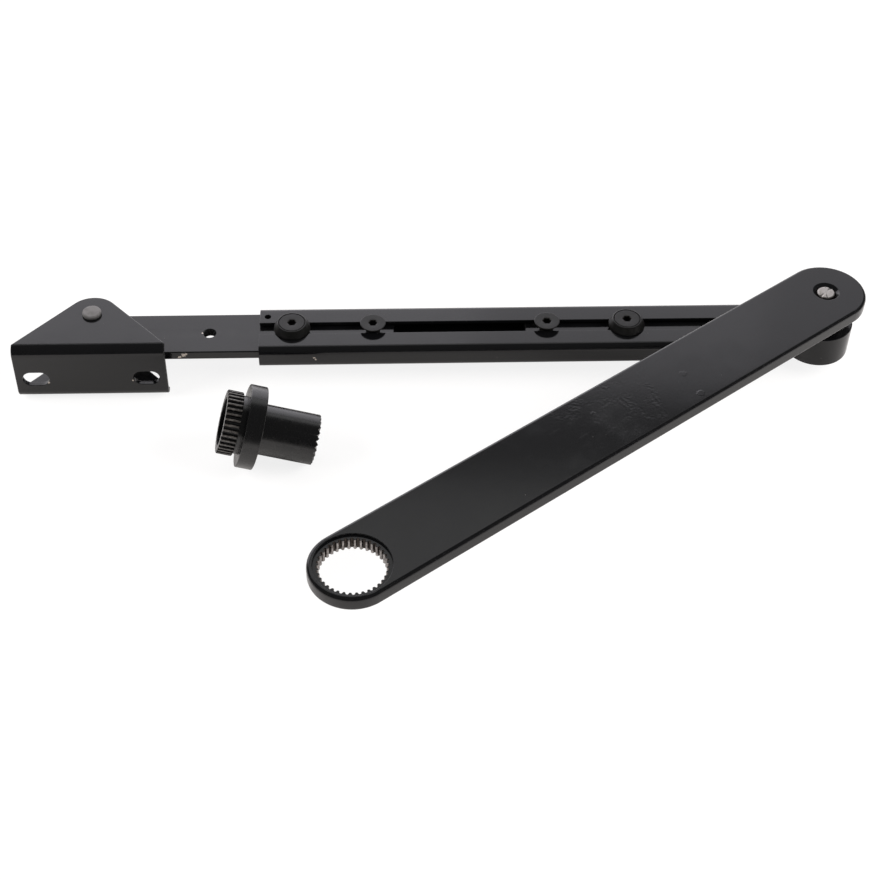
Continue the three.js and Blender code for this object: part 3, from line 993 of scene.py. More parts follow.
def washer(inner: float, outer: float, low: float, high: float, edge: float = 0.2 * MM,
           sides: int = 96) -> Skin:
    """Turns a ring with softened edges.

    Args:
        inner: The radius of its hole.
        outer: Its outer radius.
        low: Its lower face.
        high: Its upper face.
        edge: How far its edges are softened.
        sides: How many sides it has.

    Returns:
        The ring.
    """
    skin = Skin()
    corners = [(inner, low, edge), (outer, low, edge), (outer, high, edge), (inner, high, edge)]
    skin.turned(softened(corners, 3), sides, closed=True)
    return skin


@dataclass
class DriveArm:
    """Flat bar with a splined hub, and the pin, collar, washer and ring that hold the elbow to it."""

    assembly: SubAssembly
    width: float = 50.8 * MM
    thick: float = 9.5 * MM
    edge: float = 2.0 * MM
    teeth: int = 36
    tip_radius: float = 18.7 * MM
    root_radius: float = 20.2 * MM
    counterbore_radius: float = 22.1 * MM
    counterbore_depth: float = 1.6 * MM
    pin_radius: float = 5.7 * MM
    pin_hole_radius: float = 6.0 * MM
    sink_radius: float = 8.35 * MM
    shank_radius: float = 8.0 * MM
    groove_radius: float = 7.0 * MM
    fit_gap: float = 0.3 * MM

    def __post_init__(self) -> None:
        """Finds the elbow."""
        self.elbow = middle("elbow_pin")
        self.heading = math.atan2(self.elbow.y, self.elbow.x)
        self.reach = math.hypot(self.elbow.x, self.elbow.y)

    def _coat(self) -> bpy.types.Material:
        """Makes the bar's own coat: rippled over its middle, with nibs of dust under it.

        Returns:
            The coat's material.
        """
        half = self.reach / 2
        top = self.thick
        ripples = (
            Spot((half, 0.2 * self.width / 2, top), 0.09 * self.reach),
            Spot((0.93 * half, 0.8 * self.width / 2, top), 0.05 * self.reach),
            Spot((1.1 * half, -0.15 * self.width / 2, top), 0.06 * self.reach),
        )
        nibs = (
            Spot((1.307 * half, -0.74 * self.width / 2, top), 2.6 * MM, 1.2),
            Spot((1.325 * half, 0.0, top), 2.4 * MM, 1.4),
            Spot((0.97 * half, 0.3 * self.width / 2, top), 1.5 * MM, 1.2),
        )
        return PowderCoat("drive arm's black powder coat", ripples=ripples, nibs=nibs).material()

    def _bar(self) -> Skin:
        """Grows the bar, with its broached hub and its countersunk pin hole.

        Returns:
            The bar, with the painted shade on its teeth's flanks and gaps, and its bare tips, told apart.
        """
        skin = Skin()
        radius = self.width / 2
        outline = stadium(self.reach / 2, radius, (self.reach / 2, 0.0), 48)
        lower, upper = skin.wall(outline, 0.0, self.thick, self.edge)

        sides = self.teeth * 12
        floor = self.thick - self.counterbore_depth
        lip, flare = 0.35 * MM, 0.3 * MM
        turns = [QUARTER_TURN * i / 3 for i in range(4)]
        wide = self.counterbore_radius
        bore = [circle(wide + lip * (1 - math.sin(t)), self.thick - lip * (1 - math.cos(t)), sides)
                for t in turns]
        bore.append(circle(wide, floor + 0.1 * MM, sides))
        bore.append(circle(wide - 0.1 * MM, floor, sides))
        for level, opened in ((floor, flare), (floor - flare, 0.0), (flare, 0.0), (0.0, flare)):
            tip, root = self.tip_radius + opened, self.root_radius + opened / 2
            bore.append(toothed(self.teeth, tip, root, level, sides))
        # The teeth's flanks and gaps take the very dark steel, painted shade in the spline's recesses; the
        # tips take bare broached steel.
        darker, bare = 1, 2
        coated = len(turns)
        tones = [0] * (coated + 2) + [darker] * (len(bore) - 3 - coated)
        hub_top, hub_bottom = skin.tube(bore, tones)
        worn = self.tip_radius + 0.45 * (self.root_radius - self.tip_radius)
        for face in skin.mesh.faces:
            if face.material_index == darker and face.calc_center_median().xy.length < worn:
                face.material_index = bare

        centre = (self.reach, 0.0)
        depth = self.sink_radius - self.pin_hole_radius
        profile = softened([
            (self.sink_radius + 2 * MM, self.thick, 0.0),
            (self.sink_radius, self.thick, 0.3 * MM),
            (self.pin_hole_radius, self.thick - depth, 0.2 * MM),
            (self.pin_hole_radius, 0.0, 0.0),
        ], 3)[1:]
        pin_top, pin_bottom = skin.tube([circle(r, z, 64, centre) for r, z in profile])
        skin.cap(upper, hub_top, pin_top)
        skin.cap(lower, hub_bottom, pin_bottom)
        return skin

    def _pin(self) -> Skin:
        """Turns the stepped pin: the hammered end in the arm, the shank, and the ring's groove.

        Returns:
            The pin.
        """
        skin = Skin()
        low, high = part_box("elbow_pin")
        ring_low, ring_high = (corner.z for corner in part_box("elbow_retaining_ring"))
        slack = 0.2 * MM
        shank, groove, tip = self.shank_radius, self.groove_radius, self.pin_radius
        corners = [
            (shank - 0.8 * MM, low.z, 0.2 * MM),
            (shank, low.z + 0.8 * MM, 0.2 * MM),
            (shank, ring_low - slack, 0.1 * MM),
            (groove, ring_low - slack, 0.0),
            (groove, ring_high + slack, 0.0),
            (shank, ring_high + slack, 0.1 * MM),
            (shank, -0.1 * MM, 0.2 * MM),
            (tip, -0.1 * MM, 0.1 * MM),
            (tip, high.z - 0.5 * MM, 0.3 * MM),
            (tip - 0.5 * MM, high.z - 0.05 * MM, 0.4 * MM),
            (0.4 * tip, high.z, 0.0),
            (0.4 * MM, high.z - 0.1 * MM, 0.0),
        ]
        profile = softened([(0.0, low.z, 0.0), *corners], 4)[1:]
        loops = [circle(radius, level, 96) for radius, level in profile]
        hammer_marks = ((3.9, 0.16), (4.75, 0.12), (0.8, 0.14))
        for point in (point for loop in loops for point in loop):
            if point.z > high.z - 0.6 * MM and math.hypot(point.x, point.y) > 0.7 * tip:
                turn = math.atan2(point.y, point.x) % FULL_TURN
                dent = sum(math.exp(-((turn - where) / width) ** 2) for where, width in hammer_marks)
                point.z -= 0.45 * MM * dent
                point.xy *= 1 - 0.07 * dent
        bottom, top = skin.tube(loops)
        skin.cap(bottom)
        skin.cap(top)
        return skin

    def _retaining_ring(self) -> Skin:
        """Cuts the open ring that snaps into the pin's groove.

        Returns:
            The ring, with its mouth along X.
        """
        skin = Skin()
        low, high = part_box("elbow_retaining_ring")
        outer, inner = (high.y - low.y) / 2, self.groove_radius + self.fit_gap
        mouth = math.asin(3.0 * MM / outer)
        outline = arc((0, 0), outer, mouth, FULL_TURN - mouth, 64)
        outline += arc((0, 0), inner, FULL_TURN - mouth, mouth, 64)
        lower, upper = skin.wall(outline, low.z, high.z, 0.12 * MM)
        skin.cap(lower)
        skin.cap(upper)
        return skin

    def build(self) -> None:
        """Builds the arm and what it carries."""
        finishes = self.assembly.finishes
        settle = self.assembly.settle
        tones = [self._coat(), finishes.gap_shade_steel, finishes.broached_steel]
        bar = self._bar().piece("drive_arm_bar", tones)
        settle(bar, "drive_arm", Slot.BLACK_COAT, upright(Vector((0, 0, 0)), self.heading))
        at_elbow = upright(self.elbow)
        pin = self._pin().piece("elbow_pin_turned", [finishes.bare_steel])
        settle(pin, "elbow_pin", Slot.BARE_STEEL, at_elbow)
        inner = self.shank_radius + self.fit_gap
        rings = (("elbow_collar", finishes.coat, Slot.BLACK_COAT, 0.6 * MM),
                 ("elbow_thrust_washer", finishes.zinc, Slot.ZINC_PLATE, 0.2 * MM))
        for node, material, slot, edge in rings:
            low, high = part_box(node)
            skin = washer(inner, half_width(node), low.z, high.z, edge)
            settle(skin.piece(node + "_turned", [material]), node, slot, at_elbow)
        ring = self._retaining_ring().piece("elbow_ring_cut", [finishes.zinc])
        settle(ring, "elbow_retaining_ring", Slot.ZINC_PLATE, at_elbow)


@dataclass
class Elbow:
    """The boss that turns on the arm's pin, its two flanged bushes, and the weld that holds its bar."""

    assembly: SubAssembly
    bore_radius: float = 10.3 * MM
    pocket_radius: float = 14.5 * MM
    pocket_depth: float = 6.2 * MM
    bush_bore: float = 8.3 * MM
    sleeve_radius: float = 10.0 * MM
    flange: float = 1.5 * MM
    bead_radius: float = 1.9 * MM

    def _boss(self) -> Skin:
        """Turns the boss, open right through, with its pocket underneath.

        Returns:
            The boss.
        """
        skin = Skin()
        low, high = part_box("elbow_boss")
        radius = half_width("elbow_boss")
        top_of_pocket = low.z + self.pocket_depth
        edge = 0.9 * MM
        corners = [
            (self.bore_radius, top_of_pocket, 0.2 * MM),
            (self.pocket_radius, top_of_pocket, 0.3 * MM),
            (self.pocket_radius, low.z, 0.4 * MM),
            (radius, low.z, edge),
            (radius, high.z, edge),
            (self.bore_radius, high.z, 0.3 * MM),
        ]
        skin.turned(softened(corners, 5), 128, closed=True)
        return skin

    def _bush(self, node: str, flange_on_top: bool) -> Skin:
        """Turns a bush whose flange is at one of its ends.

        Args:
            node: The CAD node that it stands for.
            flange_on_top: Whether the flange is the upper end.

        Returns:
            The bush.
        """
        skin = Skin()
        low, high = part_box(node)
        edge = 0.2 * MM
        sleeve, outer = (self.sleeve_radius, 0.0), (half_width(node), edge)
        if flange_on_top:
            step = high.z - self.flange
            lower, upper = sleeve, outer
        else:
            step = low.z + self.flange
            lower, upper = outer, sleeve
        corners = [
            (self.bush_bore, low.z, edge),
            (lower[0], low.z, edge),
            (lower[0], step, lower[1]),
            (upper[0], step, upper[1]),
            (upper[0], high.z, edge),
            (self.bush_bore, high.z, edge),
        ]
        skin.turned(softened(corners, 3), 72, closed=True)
        return skin

    def _bead(self, level: float, side: int) -> Skin:
        """Lays a weld bead round the boss where the bar meets it.

        Args:
            level: The height of the bar's face.
            side: 1 on the bar's top, -1 under it.

        Returns:
            The bead, in scallops that overlap, thin at both ends.
        """
        skin = Skin()
        low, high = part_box("elbow_bar")
        path_radius = half_width("elbow_boss") + 0.5 * MM
        half_angle = math.asin(0.93 * (high.y - low.y) / 2 / path_radius)
        steps, scallops, sides = 132, 22, 14
        loops = []
        for index in range(steps + 1):
            share = index / steps
            turn = HALF_TURN + half_angle * (2 * share - 1)
            taper = min(1.0, 6 * share, 6 * (1 - share)) ** 0.5
            scallop = abs(math.sin(HALF_TURN * scallops * share))
            swell = self.bead_radius * (0.25 + 0.75 * taper) * (0.88 + 0.12 * scallop)
            loop = []
            for corner in range(sides):
                angle = FULL_TURN * corner / sides
                radius = path_radius + swell * math.cos(angle)
                height = level + side * swell * 0.85 * math.sin(angle)
                loop.append(Vector((radius * math.cos(turn), radius * math.sin(turn), height)))
            loops.append(loop)
        first, last = skin.tube(loops)
        skin.cap(first)
        skin.cap(last)
        return skin

    def build(self) -> None:
        """Builds the boss, its bushes and its two weld beads."""
        finishes = self.assembly.finishes
        settle = self.assembly.settle
        at_elbow = upright(middle("elbow_boss"))
        boss = self._boss().piece("elbow_boss_turned", [finishes.coat])
        settle(boss, "elbow_boss", Slot.BLACK_COAT, at_elbow)
        for node, on_top in (("upper_elbow_bush", True), ("lower_elbow_bush", False)):
            bush = self._bush(node, on_top).piece(node + "_turned", [finishes.bronze])
            settle(bush, node, Slot.BRONZE, at_elbow)
        low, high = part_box("elbow_bar")
        for name, level, side in (("upper_weld_bead", high.z, 1), ("lower_weld_bead", low.z, -1)):
            bead = self._bead(level, side).piece(name, [finishes.coat])
            settle(bead, "elbow_bar", Slot.BLACK_COAT, at_elbow, stands_for=False)


@dataclass
class Forearm:
    """The two flat bars and the lipped channel that they slide in."""

    assembly: SubAssembly
    edge: float = 0.7 * MM
    hole_radius: float = 4.3 * MM
    pivot_hole_radius: float = 7.3 * MM
    thread: Thread = field(default_factory=lambda: Thread(radius=4.3 * MM, depth=0.65 * MM))
    spare_hole: float = 73.0 * MM
    wall: float = 2.5 * MM
    bend: float = 4.5 * MM
    slot: float = 10.0 * MM
    lip_hole_radius: float = 2.0 * MM
    lip_hole_from_end: float = 5.2 * MM
    lip_hole_across: float = 11.2 * MM

    def _bar(self, outline: Sequence[Pair], low: float, high: float, plain: Sequence[tuple[float, float]],
             tapped: float) -> Skin:
        """Grows a flat bar with its holes.

        Args:
            outline: The bar's outline about its pivot.
            low: Its lower face.
            high: Its upper face.
            plain: Each plain hole's place along the bar and its radius.
            tapped: The place of the hole whose thread shows.

        Returns:
            The bar.
        """
        skin = Skin()
        lower, upper = skin.wall(outline, low, high, self.edge)
        bottoms, tops = [], []
        for along, radius in plain:
            hole = round_hole(radius, (along, 0.0), 64)
            bottom, top = skin.wall(hole, low, high, 0.3 * MM, hole=True)
            bottoms.append(bottom)
            tops.append(top)
        centre, chamfer = (tapped, 0.0), 0.45 * MM
        loops = self.thread.loops(low + chamfer, high - chamfer, 64, centre)
        rim = self.thread.radius + 0.15 * MM
        bottom, top = skin.tube([circle(rim, low, 64, centre), *loops, circle(rim, high, 64, centre)])
        skin.cap(lower, *bottoms, bottom)
        skin.cap(upper, *tops, top)
        return skin

    def _screw_places(self, end: str, pivot: Vector) -> list[float]:
        """How far from the pivot the clamp screw and the guide screw of one end are, along X."""
        return [middle(f"{end}_{kind}_screw").x - pivot.x for kind in ("clamp", "guide")]

    def _elbow_bar(self) -> bpy.types.Object:
        """Makes the bar that is welded to the elbow's boss.

        Returns:
            The bar, about the elbow's axis.
        """
        pivot = middle("elbow_boss")
        low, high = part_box("elbow_bar")
        half, start = (high.y - low.y) / 2, low.x - pivot.x
        cope = half_width("elbow_boss") + 0.3 * MM
        turn = math.asin(half / cope)
        corners = [(x, y, 0.0) for x, y in arc((0, 0), cope, HALF_TURN + turn, HALF_TURN - turn, 24)]
        outline = softened([(start, half, 0.8 * MM), (start, -half, 0.8 * MM), *corners], 4)
        holes = [(along, self.hole_radius) for along in self._screw_places("elbow", pivot)]
        skin = self._bar(outline, low.z, high.z, holes, -self.spare_hole)
        return skin.piece("elbow_bar_drilled", [self.assembly.finishes.coat])

    def _shoe_bar(self) -> bpy.types.Object:
        """Makes the bar that turns on the shoe's rivet, chipped where it has knocked the shoe.

        Returns:
            The bar, about the rivet's axis.
        """
        pivot = middle("shoe_rivet")
        low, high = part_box("shoe_bar")
        half, end = (high.y - low.y) / 2, high.x - pivot.x
        corners = [(x, y, 0.0) for x, y in arc((0, 0), half, 3 * QUARTER_TURN, QUARTER_TURN, 40)]
        outline = softened([(end, half, 0.8 * MM), (end, -half, 0.8 * MM), *corners], 4)
        holes = [(0.0, self.pivot_hole_radius)]
        holes += [(along, self.hole_radius) for along in self._screw_places("shoe", pivot)]
        middle_level = (low.z + high.z) / 2
        spare = self.spare_hole
        chips_and_painted_highlights = (
            Spot((0.785 * spare, -half, middle_level + 0.4 * MM), 1.6 * MM, 2.6),
            Spot((0.75 * spare, -half, middle_level - 1.0 * MM), 1.3 * MM, 3.0),
            Spot((0.81 * spare, -half, middle_level + 1.4 * MM), 0.9 * MM, 3.0),
            Spot((spare - 4.5 * MM, 0.2 * MM, high.z), 0.7 * MM, 2.0),
        )
        coat = PowderCoat("shoe bar's black powder coat", chips_and_painted_highlights=chips_and_painted_highlights).material()
        skin = self._bar(outline, low.z, high.z, holes, spare)
        return skin.piece("shoe_bar_drilled", [coat])

    def _channel(self) -> bpy.types.Object:
        """Makes the channel as a flat strip with its lip hole, then bends it.

        Returns:
            The channel, from its left end.
        """
        low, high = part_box("adjusting_channel")
        width, height, length = high.y - low.y, high.z - low.z, high.x - low.x
        lip = width / 2 - self.bend - self.slot / 2
        side = height - 2 * self.bend
        floor = width - 2 * self.bend
        folds = [*(Fold(flat, self.bend) for flat in (lip, side, floor, side)), Fold(lip)]
        sheet = BentSheet(folds, (self.slot / 2, high.z), 0.0, -1)
        skin = Skin()
        corners = ((0, 0), (length, 0), (length, sheet.length), (0, sheet.length))
        strip = softened([(x, y, 0.6 * MM) for x, y in corners], 3)
        outer, inner = skin.wall(strip, 0.0, self.wall, 0.45 * MM)
        centre = (self.lip_hole_from_end, self.lip_hole_across - self.slot / 2)
        hole = round_hole(self.lip_hole_radius, centre)
        hole_outer, hole_inner = skin.wall(hole, 0.0, self.wall, 0.25 * MM, hole=True)
        skin.cap(outer, hole_outer)
        skin.cap(inner, hole_inner)
        level = (low.z + high.z) / 2
        chips_and_painted_highlights = (
            Spot((0.111 * length, -width / 2, level + 0.8 * MM), 0.8 * MM, 3.0),
            Spot((0.114 * length, -width / 2, level - 0.6 * MM), 0.7 * MM, 3.0),
        )
        coat = PowderCoat("channel's black powder coat", chips_and_painted_highlights=chips_and_painted_highlights).material()
        return sheet.bent(skin, "channel_bent", [coat])

    def build(self) -> None:
        """Builds both bars and the channel."""
        settle = self.assembly.settle
        settle(self._elbow_bar(), "elbow_bar", Slot.BLACK_COAT, upright(middle("elbow_boss")))
        settle(self._shoe_bar(), "shoe_bar", Slot.BLACK_COAT, upright(middle("shoe_rivet")))
        low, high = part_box("adjusting_channel")
        place = upright(Vector((low.x, (low.y + high.y) / 2, 0.0)))
        settle(self._channel(), "adjusting_channel", Slot.BLACK_COAT, place)


@dataclass
class ScrewSet:
    """One end's screws: the clamp screw in its cup washer, and the guide screw in the slot."""

    assembly: SubAssembly
    end: str
    head_radius: float = 8.2 * MM
    rim: float = 0.6 * MM
    socket_across: float = 5.0 * MM
    socket_depth: float = 3.2 * MM
    thread: Thread = field(default_factory=Thread)
    cup_radius: float = 11.8 * MM
    cup_top_radius: float = 8.9 * MM
    cup_hole: float = 4.6 * MM
    sides: int = 96

    def _screw(self, low: float, high: float) -> Skin:
        """Turns a countersunk screw with a hexagon socket.

        Args:
            low: The end of its shank.
            high: The top of its head.

        Returns:
            The screw.
        """
        skin = Skin()
        shank = self.thread.radius
        neck = high - self.rim - (self.head_radius - shank)
        head = softened([
            (shank, neck - 2 * MM, 0.0),
            (shank, neck, 0.4 * MM),
            (self.head_radius, high - self.rim, 0.15 * MM),
            (self.head_radius, high, 0.55 * MM),
            (self.socket_across, high, 0.0),
        ], 4)[1:-1]
        loops = [circle(shank - self.thread.depth - 0.2 * MM, low, self.sides)]
        loops += self.thread.loops(low + 0.4 * MM, neck - 1.0 * MM, self.sides)
        loops += [circle(radius, level, self.sides) for radius, level in head]
        chamfer, point = 0.35 * MM, 0.5 * MM
        loops.append(circle(self.socket_across / 2 + 0.75 * MM, high, self.sides))
        loops.append(hexagon(self.socket_across, high - chamfer, self.sides))
        loops.append(hexagon(self.socket_across, high - self.socket_depth, self.sides))
        loops.append(circle(0.25 * self.socket_across, high - self.socket_depth - point, self.sides))
        bottom, socket_bottom = skin.tube(loops)
        skin.cap(bottom)
        skin.cap(socket_bottom)
        return skin

    def _cup(self, low: float, high: float) -> Skin:
        """Turns the cup washer: a cone outside, and a countersunk seat for the clamp screw.

        Args:
            low: Its lower face.
            high: Its top.

        Returns:
            The washer.
        """
        skin = Skin()
        seat = self.head_radius + 0.3 * MM
        seat_low = high - self.rim - (seat - self.cup_hole)
        corners = [
            (self.cup_hole, low, 0.1 * MM),
            (self.cup_radius, low, 0.2 * MM),
            (self.cup_radius, low + 0.7 * MM, 0.4 * MM),
            (self.cup_top_radius + 0.5 * MM, high, 0.7 * MM),
            (seat + 0.1 * MM, high, 0.2 * MM),
            (seat, high - self.rim, 0.1 * MM),
            (self.cup_hole, seat_low, 0.1 * MM),
        ]
        skin.turned(softened(corners, 4), 112, closed=True)
        return skin

    def build(self) -> None:
        """Builds this end's two screws and its cup washer."""
        black = self.assembly.finishes.screw_black
        for kind in ("clamp", "guide"):
            node = f"{self.end}_{kind}_screw"
            low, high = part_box(node)
            screw = self._screw(low.z, high.z).piece(node + "_turned", [black])
            self.assembly.settle(screw, node, Slot.SCREW_BLACK, upright(middle(node)))
        node = f"{self.end}_cup_washer"
        low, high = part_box(node)
        cup = self._cup(low.z, high.z).piece(node + "_turned", [black])
        self.assembly.settle(cup, node, Slot.SCREW_BLACK, upright(middle(node)))


@dataclass
class Shoe:
    """The bracket bent from plate, the rivet through it, and the spacers and bush on the rivet."""

    assembly: SubAssembly
    plate: float = 3.2 * MM
    bend: float = 6.4 * MM
    apex_radius: float = 16.5 * MM
    square: float = 6.0 * MM
    slot_length: float = 16.6 * MM
    slot_height: float = 10.8 * MM
    slot_offset: float = 34.7 * MM
    slot_level: float = -27.4 * MM
    rivet_shank: float = 4.7 * MM
    bore_radius: float = 5.0 * MM
    edge: float = 0.8 * MM

    def _bracket(self) -> bpy.types.Object:
        """Makes the bracket as a flat blank with its slots and bores, then bends it into a clevis.

        Returns:
            The bracket, about the rivet's axis.
        """
        pivot = middle("shoe_rivet")
        low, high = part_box("shoe_bracket")
        half, face = (high.x - low.x) / 2, pivot.y - low.y
        cheek = self.apex_radius + face - self.bend
        folds = [Fold(cheek, self.bend), Fold(high.z - low.z - 2 * self.bend, self.bend), Fold(cheek)]
        sheet = BentSheet(folds, (self.apex_radius, high.z), HALF_TURN, 1, 10)
        corner = face - self.square
        reach = math.hypot(half, corner)
        tangent = math.atan2(-corner, half) + math.acos(self.apex_radius / reach)

        cap_arc = arc((0, 0), self.apex_radius, HALF_TURN - tangent, tangent, 30)
        shoulder = self.apex_radius + corner
        first = [(-half, shoulder), *((x, self.apex_radius - y) for x, y in cap_arc), (half, shoulder)]
        second = [(-x, sheet.length - y) for x, y in first]
        skin = Skin()
        outer, inner = skin.wall(first + second, 0.0, self.plate, self.edge)
        outer_holes, inner_holes = [], []
        slot_radius = self.slot_height / 2
        slot_half = self.slot_length / 2 - slot_radius
        slot_along = folds[0].flat + self.bend * QUARTER_TURN + high.z - self.bend - self.slot_level
        holes = [stadium(slot_half, slot_radius, (side * self.slot_offset, slot_along), 20)
                 for side in (-1, 1)]
        for along in (self.apex_radius, sheet.length - self.apex_radius):
            holes.append(round_hole(self.bore_radius, (0.0, along)))
        for hole in holes:
            hole_outer, hole_inner = skin.wall(hole, 0.0, self.plate, 0.3 * MM, hole=True)
            outer_holes.append(hole_outer)
            inner_holes.append(hole_inner)
        skin.cap(outer, *outer_holes)
        skin.cap(inner, *inner_holes)
        # Painted highlights: the two spots beside the slot ends are bright metal spots where the slot rims
        # catch the light; the spot at the flange's corner stands for a chip.
        left_slot_highlight = -self.slot_offset + 0.46 * self.slot_length
        right_slot_highlight = self.slot_offset - 0.53 * self.slot_length
        chips_and_painted_highlights = (
            Spot((0.93 * half, -face, low.z + 1.0 * MM), 1.2 * MM, 1.6),
            Spot((left_slot_highlight, -face, self.slot_level - 3 * MM), 0.9 * MM, 1.5),
            Spot((right_slot_highlight, -face, self.slot_level - 2 * MM), 0.7 * MM, 1.5),
        )
        coat = PowderCoat("shoe's black powder coat", chips_and_painted_highlights=chips_and_painted_highlights).material()
        return sheet.bent(skin, "shoe_bracket_bent", [coat])

    def _rivet(self) -> Skin:
        """Turns the rivet: a low pressed head, the shank, and an upset tail.

        Returns:
            The rivet.
        """
        skin = Skin()
        low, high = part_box("shoe_rivet")
        plate_low, plate_high = (corner.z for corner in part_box("shoe_bracket"))
        head, shank = half_width("shoe_rivet"), self.rivet_shank
        seat, tail = plate_high + 0.1 * MM, plate_low - 0.1 * MM
        corners = [
            (0.0, low.z, 0.0),
            (0.55 * head, low.z, 0.8 * MM),
            (head, low.z + 1.1 * MM, 0.7 * MM),
            (head, tail, 0.1 * MM),
            (shank, tail, 0.0),
            (shank, seat, 0.0),
            (head - 0.2 * MM, seat, 0.3 * MM),
            (head, high.z - 0.9 * MM, 0.5 * MM),
            (head - 0.8 * MM, high.z - 0.1 * MM, 0.6 * MM),
            (0.4 * head, high.z, 0.0),
            (0.2 * MM, high.z - 0.05 * MM, 0.0),
        ]
        bottom, top = skin.turned(softened(corners, 4)[1:], 80)
        skin.cap(bottom)
        skin.cap(top)
        return skin

    def build(self) -> None:
        """Builds the bracket, the rivet and what is on it."""
        finishes = self.assembly.finishes
        settle = self.assembly.settle
        at_pivot = upright(middle("shoe_rivet"))
        settle(self._bracket(), "shoe_bracket", Slot.BLACK_COAT, at_pivot)
        rivet = self._rivet().piece("shoe_rivet_pressed", [finishes.rivet_steel])
        settle(rivet, "shoe_rivet", Slot.RIVET_STEEL, at_pivot)
        rings = (
            ("shoe_pivot_bush", finishes.bronze, Slot.BRONZE),
            ("upper_shoe_spacer", finishes.zinc, Slot.ZINC_PLATE),
            ("lower_shoe_spacer", finishes.zinc, Slot.ZINC_PLATE),
        )
        for node, material, slot in rings:
            low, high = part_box(node)
            skin = washer(self.bore_radius, half_width(node), low.z, high.z)
            settle(skin.piece(node + "_turned", [material]), node, slot, at_pivot)


@dataclass
class SpindleAdapter:
    """The loose sleeve: a spline for the arm, a flange, and a shaft with a crown of teeth."""

    assembly: SubAssembly
    teeth: int = 36
    spline_radius: float = 19.8 * MM
    spline_root: float = 18.2 * MM
    spline_length: float = 9.7 * MM
    neck_radius: float = 18.0 * MM
    neck: float = 3.2 * MM
    flange_radius: float = 25.8 * MM
    flange: float = 10.4 * MM
    shaft_radius: float = 15.7 * MM
    shaft: float = 35.8 * MM
    bore_radius: float = 6.6 * MM
    pocket_radius: float = 15.0 * MM
    pocket_depth: float = 20.0 * MM
    crown_teeth: int = 26
    crown_depth: float = 2.2 * MM
    crown_tip: float = 0.57 * MM
    seat_radius: float = 22.0 * MM

    def _place(self) -> Matrix:
        """Finds where the sleeve lies from the seat on its flange.

        Returns:
            Its place; its Z axis runs from the spline to the crown.
        """
        seat = next(mount for mount in frame["record"]["mounts"] if mount["name"] == "adapter_seat")
        axis = -Vector(seat["axis"]).normalized()
        up = (Vector((0, 0, 1)) - axis * axis.z).normalized()
        origin = Vector(seat["pos_m"]) - up * self.seat_radius - axis * (self.spline_length + self.neck)
        turned = Matrix((up, axis.cross(up), axis)).transposed().to_4x4()
        return Matrix.Translation(origin) @ turned

    def _crown(self, radius: float, end: float, sides: int) -> Loop:
        """Lays points round the crown: V teeth that are deeper the farther they are from the axis.

        Args:
            radius: The distance from the axis.
            end: Where the shaft would end without them.
            sides: How many points there are, a multiple of the teeth.

        Returns:
            The points, anticlockwise.
        """
        reach = radius / self.shaft_radius
        loop = []
        for point in circle(radius, end, sides):
            turn = math.atan2(point.y, point.x) % FULL_TURN
            phase = (turn * self.crown_teeth / FULL_TURN) % 1.0
            rise = min(1.0, abs(2 * phase - 1) * 1.06)
            point.z = end - reach * (self.crown_depth + (self.crown_tip - self.crown_depth) * rise)
            loop.append(point)
        return loop

    def _sleeve(self) -> Skin:
        """Grows the sleeve, open from end to end.

        Returns:
            The sleeve, with its worn teeth told apart.
        """
        skin = Skin()
        splined, crowned, plain = self.teeth * 12, self.crown_teeth * 12, 144
        flange_low = self.spline_length + self.neck
        flange_high = flange_low + self.flange
        end = flange_high + self.shaft
        edge, chamfer = 0.7 * MM, 0.45 * MM

        def spline(level: float, less: float = 0.0) -> Loop:
            """The outer teeth at a height, cut back by an amount."""
            tip = self.spline_radius - less
            return toothed(self.teeth, tip, min(tip, self.spline_root), level, splined)

        tooth_loops = [
            circle(self.pocket_radius, self.pocket_depth, splined),
            circle(self.pocket_radius, 0.4 * MM, splined),
            circle(self.pocket_radius + 0.4 * MM, 0.0, splined),
            spline(0.0, chamfer * 1.6),
            spline(chamfer),
            spline(self.spline_length - chamfer),
            spline(self.spline_length, chamfer),
            circle(self.neck_radius, self.spline_length, splined),
            circle(self.neck_radius, flange_low, splined),
        ]
        pocket_end, neck_end = skin.tube(tooth_loops)
        flange_corners = [
            (self.neck_radius, flange_low, 0.0),
            (self.flange_radius, flange_low, edge),
            (self.flange_radius, flange_high, edge),
            (self.shaft_radius, flange_high, 0.0),
        ]
        flange_near, flange_far = skin.turned(softened(flange_corners, 5)[1:-1], plain)
        fillet = 0.5 * MM
        shaft_loops = [
            circle(self.shaft_radius + fillet, flange_high, crowned),
            circle(self.shaft_radius + 0.3 * fillet, flange_high + 0.3 * fillet, crowned),
            circle(self.shaft_radius, flange_high + fillet, crowned),
            circle(self.shaft_radius, end - self.crown_depth - 0.3 * MM, crowned),
            self._crown(self.shaft_radius, end - 0.1 * MM, crowned),
            self._crown(self.shaft_radius - 0.2 * MM, end, crowned),
            self._crown(self.bore_radius + 0.3 * MM, end, crowned),
            circle(self.bore_radius, end - 1.6 * MM, crowned),
            circle(self.bore_radius, self.pocket_depth, crowned),
        ]
        shaft_near, bore_end = skin.tube(shaft_loops)
        skin.cap(flange_near, neck_end)
        skin.cap(flange_far, shaft_near)
        skin.cap(pocket_end, bore_end)
        worn = self.spline_radius - 0.25 * (self.spline_radius - self.spline_root)
        for face in skin.mesh.faces:
            middle_point = face.calc_center_median()
            if middle_point.z < self.spline_length and middle_point.xy.length > worn:
                face.material_index = 1
        return skin

    def build(self) -> None:
        """Builds the sleeve where it lies."""
        finishes = self.assembly.finishes
        sleeve = self._sleeve().piece("spindle_adapter_turned", [finishes.black_oxide, finishes.worn_oxide])
        self.assembly.settle(sleeve, "spindle_adapter", Slot.BLACK_OXIDE, self._place())


